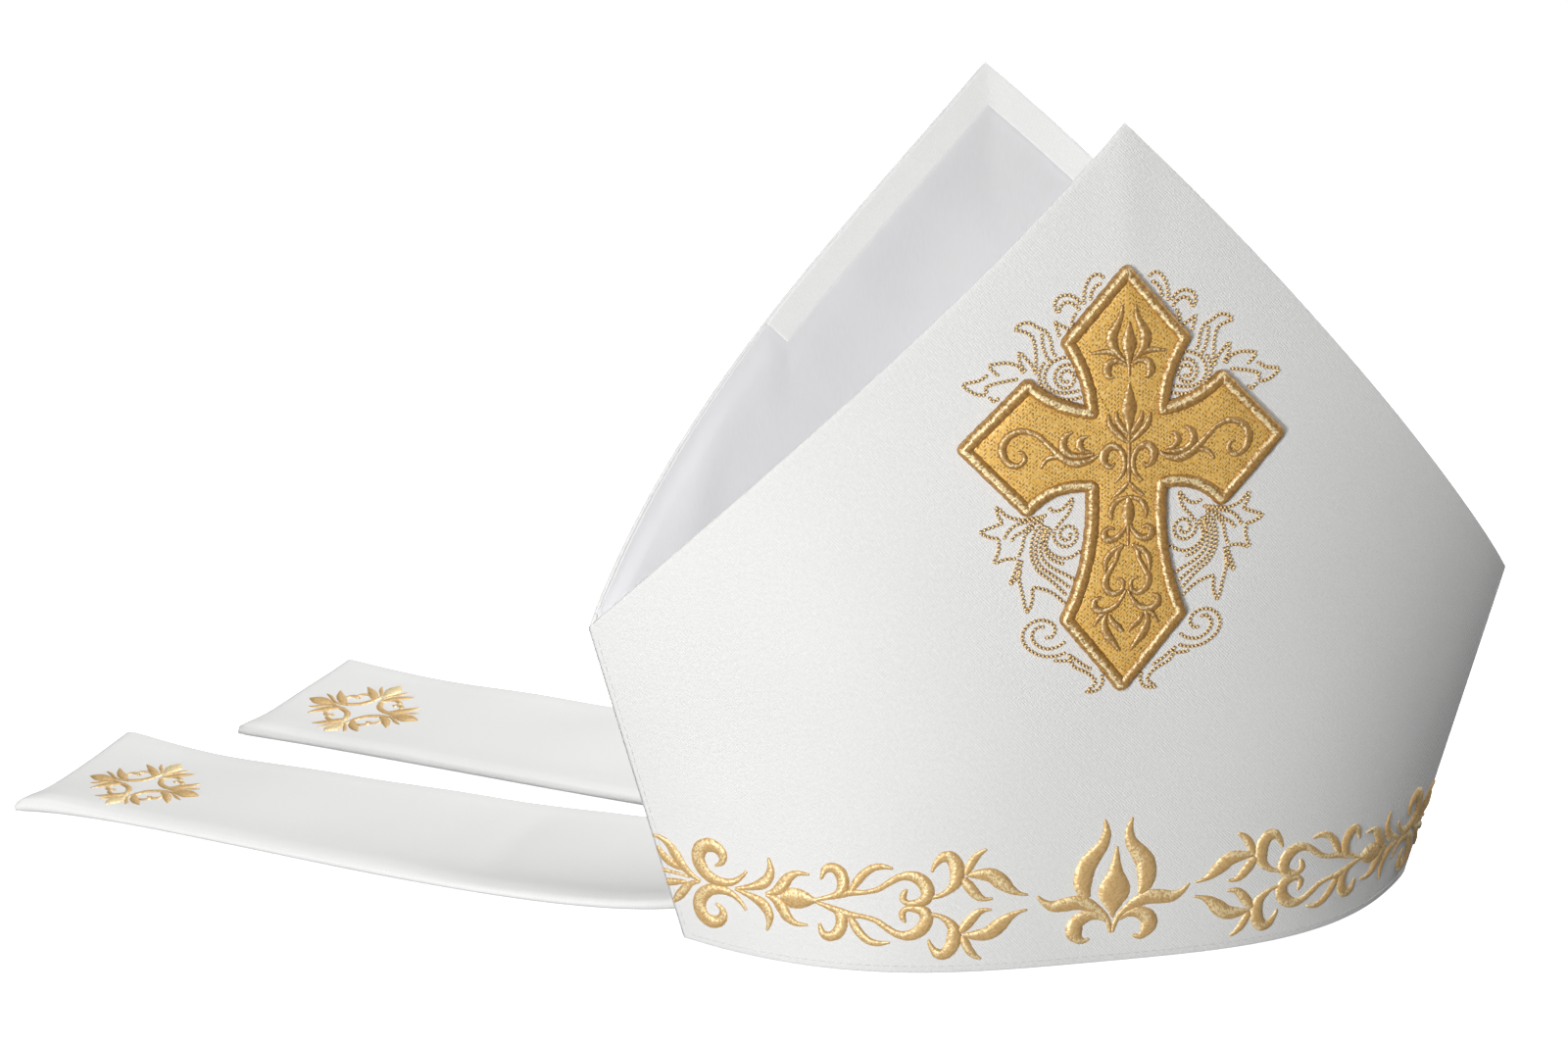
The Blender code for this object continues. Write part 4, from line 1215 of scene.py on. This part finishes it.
class Lappet:
    """One lappet's surfaces. Each long edge leaves the back rim, drops down the wall,
    turns on a small radius on to the surface and follows a Bezier curve to its end."""

    ALONG = 190
    ACROSS = 44
    FOOT = 12

    def __init__(self, hand):
        share = np.linspace(0.0, 1.0, self.ACROSS + 1)
        self.across = blend(0.5 - 0.5 * np.cos(share * math.pi), share, 0.4)
        half = LAPPET_THICKNESS / 2
        near, far = LAPPET_EDGES[hand]["near"], LAPPET_EDGES[hand]["far"]
        foot = self.foot(blend(near["root_x"], far["root_x"], self.across), half)
        leave, arrive, end = (
            blend(*(np.array(edge[key], float) for edge in (near, far)), self.across[:, None])
            for key in ("leave", "arrive", "end")
        )
        t = np.linspace(0.0, 1.0, self.ALONG + 1)[1:, None, None]
        t = blend(t, np.sin(t * math.pi / 2), 0.15)
        plan = foot[-1, :, :2] * (1 - t) ** 3 + 3 * leave * t * (1 - t) ** 2
        plan = plan + 3 * arrive * t**2 * (1 - t) + end * t**3
        lift = np.maximum(0.0, (t[..., 0] - 1.0) / LAPPET_LIFT_SHARE + 1.0) ** 2
        low = half + LAPPET_CORNER_LIFT * lift * self.across**2
        self.middle = np.concatenate([foot, np.concatenate([plan, low[..., None]], axis=-1)])
        self.run = running(self.middle)
        self.width = np.linalg.norm(self.middle[:, -1] - self.middle[:, 0], axis=-1)
        self.near = self.across * self.width[:, None]
        self.half = self.half_thickness(half)
        self.middle[..., 2] += (self.half - half) * ease(self.run / 30.0)
        normal = grid_normals(self.middle)
        self.up = normal * np.sign(normal[-1:, :, 2:])
        self.top = self.middle + self.half[..., None] * self.up

    def foot(self, root_x, half):
        """From the root down the wall and round to the surface, in a quarter circle."""
        root, inner = (on_wall("back", root_x, np.zeros_like(root_x), depth) for depth in (0.0, -1.0))
        out = unit((root - inner) * (1.0, 1.0, 0.0))
        turn = np.linspace(0.0, math.pi / 2, self.FOOT + 1)[:, None]
        height, away = (LAPPET_FOOT_RADIUS * (1.0 - part(turn)) for part in (np.sin, np.cos))
        height = np.concatenate([[[LAPPET_ROOT_HEIGHT]], height]) + half
        away = np.concatenate([[[0.0]], away]) + LAYER_GAP + half
        return root * (1.0, 1.0, 0.0) + away[..., None] * out + height[..., None] * (0.0, 0.0, 1.0)

    def half_thickness(self, half):
        """Half the thickness over the strip: fuller along its long edges, the near one most,
        with faint waves, one wrinkle across it and a closed end."""
        near, far = self.near, self.width[:, None] - self.near
        run, left = self.run, self.run[-1:] - self.run
        roll = 0.75 * bump(near - 5.0, 7.5) + 0.2 * bump(far - 4.0, 5.0)
        wave = 0.12 * np.sin(run / 21.0 + near / 30.0) + 0.08 * np.sin(run / 11.0 - near / 17.0)
        wrinkle = 0.4 * bump(run - 0.36 * run[-1:] - 0.45 * near, 8.0)
        wrinkle = wrinkle * ease(near / 30.0) * ease(far / 30.0) * ease(run / 60.0)
        corner = bump(near, 16.0) * bump(left, 24.0)
        thick = half + roll * ease(left / 12.0) + corner + wave * ease(run / 40.0) - wrinkle
        gap = np.minimum(left, 4.0) / 4.0
        return thick * np.sqrt(np.clip(1.0 - (1.0 - gap) ** 2, 0.02, 1.0))

    def lay(self, hand):
        """A function that puts places on the ornament, along and across from its middle
        and a height, on the top of the strip. The ornament's axes are given in plan, and
        the steps over the strip that make them are found from the strip's own two."""
        length = self.run[-1].mean()
        ornament = LAPPET_ORNAMENT_PLACE[hand]

        def at(steps):
            """Row and column of the strip at steps from the ornament's middle."""
            run = length - ornament["from_end"] + steps[..., 0]
            row = np.interp(run, self.run.mean(axis=1), np.arange(len(self.run)))
            share = 0.5 + (ornament["across"] + steps[..., 1]) / self.width[-1]
            return row, np.interp(share, self.across, np.arange(len(self.across)))

        reach = 9.0
        before = sample(self.top, *at(-reach * np.eye(2)))[:, :2]
        after = sample(self.top, *at(reach * np.eye(2)))[:, :2]
        steps_per_axis = np.array(ornament["axes"]) @ np.linalg.inv((after - before) / (2 * reach))

        def put(along, across, height):
            """The points of the ornament on the strip."""
            row, column = at(join(along, across) @ steps_per_axis)
            return sample(self.top, row, column) + height[..., None] * sample(self.up, row, column)

        return put


LAPPETS = {hand: Lappet(hand) for hand in LAPPET_EDGES}


class MITRE_OT_lappets(bpy.types.Operator):
    """The two lappets, laid out on the surface behind the mitre"""

    bl_idname = "mitre.lappets"
    bl_label = "Lappets"

    def execute(self, context):
        material = twill("lappet twill", context.scene.mitre_settings, 0.05, 0.03)
        for hand, lappet in LAPPETS.items():
            middle = lappet.middle.transpose(1, 0, 2)
            marks = join(lappet.near.T, lappet.run.T, 0.0)
            made = wrapped("lappet_" + hand + "_cloth", middle, lappet.half.T, marks, material, over_floor)
            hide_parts("lappet_" + hand)
        return {"FINISHED"}


class MITRE_OT_cross(bpy.types.Operator):
    """The padded cross: its field of fill stitch, the roll round it and its ornament"""

    bl_idname = "mitre.cross"
    bl_label = "Cross"

    FIELD_RINGS = 60
    FIELD_STEP = 0.8
    FIELD_HEIGHT = 1.9
    FIELD_INSET = 2.6
    FIELD_FOOT = -0.3
    FIELD_EDGE = {"drop": 0.75, "run": 1.4}
    FIELD_MIDDLE = {"rise": 0.25, "run": 9.0}
    MOTIF_LIFT = 0.45
    MOTIF_SEED = 11
    ROLL_COLUMNS = 14
    ROLL_SEED = 7
    ROLL_STEP = 0.6
    ROLL_UNDERSIDE = -0.12
    ROLL_UNEVEN = {"reach": 0.08, "rise": 0.07}

    def execute(self, context):
        settings = context.scene.mitre_settings
        tones = (settings.gold_shade, settings.gold_dark, settings.painted_glint_gold)
        lay = Roll("front").on_cloth
        made = self.field(lay).build("cross_field_cloth", gold_fill(settings))
        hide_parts("cross_field")
        material = gold_satin("gold roll", settings, tones, 0.48, 0.2)
        made = self.roll(lay, settings).build("cross_border_roll", material)
        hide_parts("cross_border")
        rng = np.random.default_rng(self.MOTIF_SEED)
        work = Embroidery(lay, settings, rng, self.FIELD_HEIGHT + self.MOTIF_LIFT)
        work.mirrored(MOTIFS_MIRRORED, MOTIFS_SINGLE, MOTIF_SHIFT)
        made = work.build("cross_motifs", gold_satin("motif satin", settings, tones, 0.40))
        return {"FINISHED"}

    def field(self, lay):
        """Rings from the outline in to the middle of the cross. The height is level
        inside and falls as an exponential towards the roll."""
        edge, _ = even_loop(cross_outline(self.FIELD_STEP, self.FIELD_INSET), self.FIELD_STEP)
        share = np.linspace(1.0, 0.0, self.FIELD_RINGS + 1)[:-1, None, None] ** 0.85
        flat = blend(np.array(CROSS_MIDDLE), edge, share)
        inside = distance_to(edge, flat.reshape(-1, 2)).reshape(flat.shape[:2])
        edge_drop = self.FIELD_EDGE["drop"] * np.exp(-inside / self.FIELD_EDGE["run"])
        height = self.FIELD_HEIGHT * (1.0 - edge_drop)
        height = height + self.FIELD_MIDDLE["rise"] * ease(inside / self.FIELD_MIDDLE["run"])
        rings = np.concatenate([laid(lay, edge, self.FIELD_FOOT)[None], laid(lay, flat, height)])
        flat = np.concatenate([edge[None], flat])
        marks = join(flat[..., 0], flat[..., 1], 0.0)
        tips = laid(lay, np.array([CROSS_MIDDLE] * 2), (self.FIELD_FOOT, height[-1].mean()))
        tubes = Tubes()
        tubes.add(rings[:, ::-1], marks[:, ::-1], tips)
        return tubes

    def roll(self, lay, settings):
        """A flat-topped half ellipse carried round the outline, with every thread's ring a
        little uneven, closed under the cloth."""
        radius = CROSS_BORDER_WIDTH / 2
        path, along = even_loop(cross_outline(self.ROLL_STEP, radius), settings.thread_pitch)
        _, left = directions(np.roll(path, -2, axis=0) - np.roll(path, 2, axis=0))
        uneven = np.random.default_rng(self.ROLL_SEED).uniform(-1.0, 1.0, (len(path), 2))
        slow = sum(np.roll(uneven, places, axis=0) for places in range(3)) / 3
        uneven = 0.5 * uneven + 0.8 * slow
        across = np.cos(np.linspace(0.0, math.pi, self.ROLL_COLUMNS - 2))
        lift = np.append((1.0 - np.abs(across) ** 2.8) ** 0.55, [self.ROLL_UNDERSIDE] * 2)
        across = np.append(across, [-SATIN_UNDERSIDE, SATIN_UNDERSIDE])
        across = across * (radius + 0.2) * (1.0 + self.ROLL_UNEVEN["reach"] * uneven[:, :1])
        rings = laid(
            lay, path[:, None] - across[..., None] * left[:, None],
            lift * settings.roll_rise * (1.0 + self.ROLL_UNEVEN["rise"] * uneven[:, 1:]),
        )
        marks = join(along[:, None], across, thread_turn(rings))
        tubes = Tubes()
        tubes.add(rings[:, ::-1], marks[:, ::-1])
        return tubes


class MITRE_OT_run_stitch(bpy.types.Operator):
    """Outline ornament in run stitch round the cross"""

    bl_idname = "mitre.run_stitch"
    bl_label = "Run stitch"

    SLANT = 0.2

    def execute(self, context):
        settings = context.scene.mitre_settings
        sizes = (settings.run_length, settings.run_gap, settings.run_thickness)
        lay = Roll("front").on_cloth
        tubes = Tubes()
        for path in [*RUN_PATHS, *map(self.spiral, RUN_SPIRALS)]:
            for hand in (-1, 1):
                flat = np.array(path) * (hand, 1.0) + (RUN_SHIFT, 0.0)
                dashes(tubes, flat, lay, *sizes, slant=self.SLANT)
        made = tubes.build("cross_run_stitch", run_thread(settings))
        return {"FINISHED"}

    @staticmethod
    def spiral(row):
        """A radius that grows evenly with the angle."""
        t = np.linspace(0.0, 1.0, 24)
        angle = math.radians(row["end"]) - (1.0 - t) * row["turns"] * 2 * math.pi
        radius = blend(row["inner"], row["outer"], t)
        return join(row["away"] + radius * np.cos(angle), row["up"] + radius * np.sin(angle))


class MITRE_OT_border(bpy.types.Operator):
    """The scroll border round the front of the rim and the fleur at its middle"""

    bl_idname = "mitre.border"
    bl_label = "Border"

    SEED = 5

    def execute(self, context):
        settings = context.scene.mitre_settings
        tones = (settings.gold_middle, settings.gold_pale, settings.painted_glint_gold)
        material = gold_satin("gold satin", settings, tones, 0.44)
        rng = np.random.default_rng(self.SEED)
        self.front = Roll("front")
        for name, hand, flat in (("left", -1, 1.0), ("right", 1, SCROLL_RIGHT_FLATTENING)):
            work = Embroidery(self.lay, settings, rng)
            upper, lower = np.diag([hand, flat]), np.diag([hand, -flat])
            work.strokes(SCROLL_SINGLE, [upper], SCROLL_SHIFT)
            work.strokes(SCROLL_MIRRORED, [upper, lower], SCROLL_SHIFT)
            made = work.build("border_scroll_" + name, material)
        work = Embroidery(self.front.on_cloth, settings, rng)
        work.mirrored(FLEUR_MIRRORED, FLEUR_SINGLE, FLEUR_SHIFT)
        made = work.build("border_fleur", material)
        return {"FINISHED"}

    def lay(self, u, up, height):
        """The scroll's middle line sinks as a parabola to the right. The seam cuts the
        strokes that reach it."""
        drop = SCROLL_RIGHT_DROP * (np.maximum(u - SCROLL_DROP_START, 0.0) / SCROLL_DROP_REACH) ** 2
        z = SCROLL_MIDDLE_HEIGHT - drop + up
        reach = self.front.half_arc(z) - SCROLL_TO_SEAM
        return self.front.on_cloth(np.clip(u, -reach, reach), z, height)


class MITRE_OT_lappet_ornaments(bpy.types.Operator):
    """The gold ornament at the end of each lappet"""

    bl_idname = "mitre.lappet_ornaments"
    bl_label = "Lappet ornaments"

    SEED = 3

    def execute(self, context):
        settings = context.scene.mitre_settings
        tones = (settings.gold_middle, settings.gold_pale, settings.painted_glint_gold)
        material = gold_satin("ornament satin", settings, tones, 0.56)
        for hand, lappet in LAPPETS.items():
            rng = np.random.default_rng(self.SEED)
            work = Embroidery(lappet.lay(hand), settings, rng, relief=LAPPET_ORNAMENT_RELIEF)
            for quarter in range(4):
                cos, sin = math.cos(quarter * math.pi / 2), math.sin(quarter * math.pi / 2)
                spin = np.array([[cos, sin], [-sin, cos]])
                both = [np.diag([1, side]) @ spin for side in (-1, 1)]
                work.strokes(LAPPET_ORNAMENT_SINGLE, [spin], widening=LAPPET_ORNAMENT_WIDENING)
                work.strokes(LAPPET_ORNAMENT_MIRRORED, both, widening=LAPPET_ORNAMENT_WIDENING)
            made = work.build("lappet_" + hand + "_ornament", material)
            self.declare(hand, lappet, made)
        return {"FINISHED"}

    @staticmethod
    def declare(hand, lappet, ornament):
        """Does nothing with the lappet or its ornament."""


class MITRE_OT_topstitch(bpy.types.Operator):
    """White topstitching along the rim and the side seams"""

    bl_idname = "mitre.topstitch"
    bl_label = "Topstitch"

    FROM_EDGE = 2.7
    SINK = -0.02

    def execute(self, context):
        settings = context.scene.mitre_settings
        sizes = (settings.topstitch_length, settings.topstitch_gap, settings.topstitch_thickness)
        material = sewing_thread("white thread", times(0.9, settings.cloth_colour))
        z = np.linspace(self.FROM_EDGE + 2.0, SEAM_HEIGHT - 3.0, 20)
        for side in DEPTH:
            roll = Roll(side)
            tubes = Tubes()
            u = np.linspace(-1.0, 1.0, 60) * (roll.half_arc(self.FROM_EDGE) - self.FROM_EDGE)
            seam = roll.half_arc(z) - self.FROM_EDGE
            for path in (join(u, self.FROM_EDGE), join(-seam, z), join(seam, z)):
                dashes(tubes, path, roll.on_cloth, *sizes, self.SINK)
            made = tubes.build(side + "_topstitch", material)
        return {"FINISHED"}


class MITRE_OT_stage(bpy.types.Operator):
    """Pale floor, soft light from the left and the camera"""

    bl_idname = "mitre.stage"
    bl_label = "Stage"

    def execute(self, context):
        settings = context.scene.mitre_settings
        scene = context.scene
        scene.view_settings.view_transform = "Standard"
        self.floor(settings)
        for name, lamp in LIGHTS.items():
            self.light(name, lamp, settings.light_power)
        scene.world = self.world(settings.fill_strength)
        scene.camera = self.camera()
        return {"FINISHED"}

    @staticmethod
    def floor(settings):
        """A square that is seen but takes no part in the light on the mitre."""
        mesh = bpy.data.meshes.new("floor")
        corners = np.array([(-1, -1), (1, -1), (1, 1), (-1, 1)]) * FLOOR_REACH
        mesh.from_pydata(join(corners[:, 0], corners[:, 1], -FLOOR_DEPTH * MM), [], [(0, 1, 2, 3)])
        mesh.materials.append(floor_surface(settings))
        floor = add_object("floor", mesh)
        floor.visible_diffuse = False
        floor.visible_glossy = False
        floor.visible_shadow = False

    @staticmethod
    def light(name, lamp, factor):
        """A square area light that faces the middle of the mitre. Azimuth 0 is in front
        of it and 90 on its left."""
        turn, rise = math.radians(lamp["azimuth"]), math.radians(lamp["elevation"])
        flat = -math.cos(rise)
        away = LIGHT_DISTANCE * np.array([math.sin(turn) * flat, math.cos(turn) * flat, math.sin(rise)])
        data = bpy.data.lights.new(name, "AREA")
        data.energy = factor * lamp["power"]
        data.size = lamp["size"]
        made = add_object(name, data)
        made.location = shift() * MM + (0.0, 0.0, LIGHT_TARGET_HEIGHT) + away
        made.rotation_mode = "QUATERNION"
        made.rotation_quaternion = mathutils.Vector(away).to_track_quat("Z", "Y")

    @staticmethod
    def world(strength):
        """Even white light from all round."""
        world = bpy.data.worlds.new("soft surroundings")
        world.use_nodes = True
        background = world.node_tree.nodes["Background"]
        background.inputs["Color"].default_value = (1.0, 1.0, 1.0, 1.0)
        background.inputs["Strength"].default_value = strength
        return world

    @staticmethod
    def camera():
        """Turned by its yaw, tipped down by its pitch and leant by its roll."""
        yaw, pitch, roll = (math.radians(CAMERA_TURN[key]) for key in ("yaw", "pitch", "roll"))
        data = bpy.data.cameras.new("camera")
        data.sensor_width = CAMERA_SENSOR
        data.lens = CAMERA_LENS
        data.clip_end = CAMERA_SIGHT
        camera = add_object("camera", data)
        camera.location = (np.array(CAMERA_FROM_RIM_MIDDLE) + shift()) * MM
        camera.rotation_mode = "QUATERNION"
        turn = mathutils.Matrix.Rotation(-yaw, 3, "Z")
        turn = turn @ mathutils.Matrix.Rotation(math.pi / 2 - pitch, 3, "X")
        turn = turn @ mathutils.Matrix.Rotation(roll, 3, "Z")
        camera.rotation_quaternion = turn.to_quaternion()
        return camera


class MITRE_PT_panel(bpy.types.Panel):
    """Lists the steps that build the mitre"""

    bl_idname = "MITRE_PT_panel"
    bl_label = "Bishop mitre"
    bl_space_type = "VIEW_3D"
    bl_region_type = "UI"
    bl_category = "Mitre"

    def draw(self, context):
        for operator in OPERATORS:
            self.layout.operator(operator.bl_idname)
        for name in MitreSettings.__annotations__:
            self.layout.prop(context.scene.mitre_settings, name)


OPERATORS = (
    MITRE_OT_panels,
    MITRE_OT_facings,
    MITRE_OT_lining,
    MITRE_OT_lappets,
    MITRE_OT_cross,
    MITRE_OT_run_stitch,
    MITRE_OT_border,
    MITRE_OT_lappet_ornaments,
    MITRE_OT_topstitch,
    MITRE_OT_stage,
)
CLASSES = (MitreSettings, *OPERATORS, MITRE_PT_panel)


def register():
    for entry in CLASSES:
        bpy.utils.register_class(entry)
    bpy.types.Scene.mitre_settings = bpy.props.PointerProperty(type=MitreSettings)


def unregister():
    del bpy.types.Scene.mitre_settings
    for entry in reversed(CLASSES):
        bpy.utils.unregister_class(entry)


def main():
    register()
    bpy.ops.mitre.panels()
    bpy.ops.mitre.facings()
    bpy.ops.mitre.lining()
    bpy.ops.mitre.lappets()
    bpy.ops.mitre.cross()
    bpy.ops.mitre.run_stitch()
    bpy.ops.mitre.border()
    bpy.ops.mitre.lappet_ornaments()
    bpy.ops.mitre.topstitch()
    bpy.ops.mitre.stage()


if __name__ == "__main__":
    main()
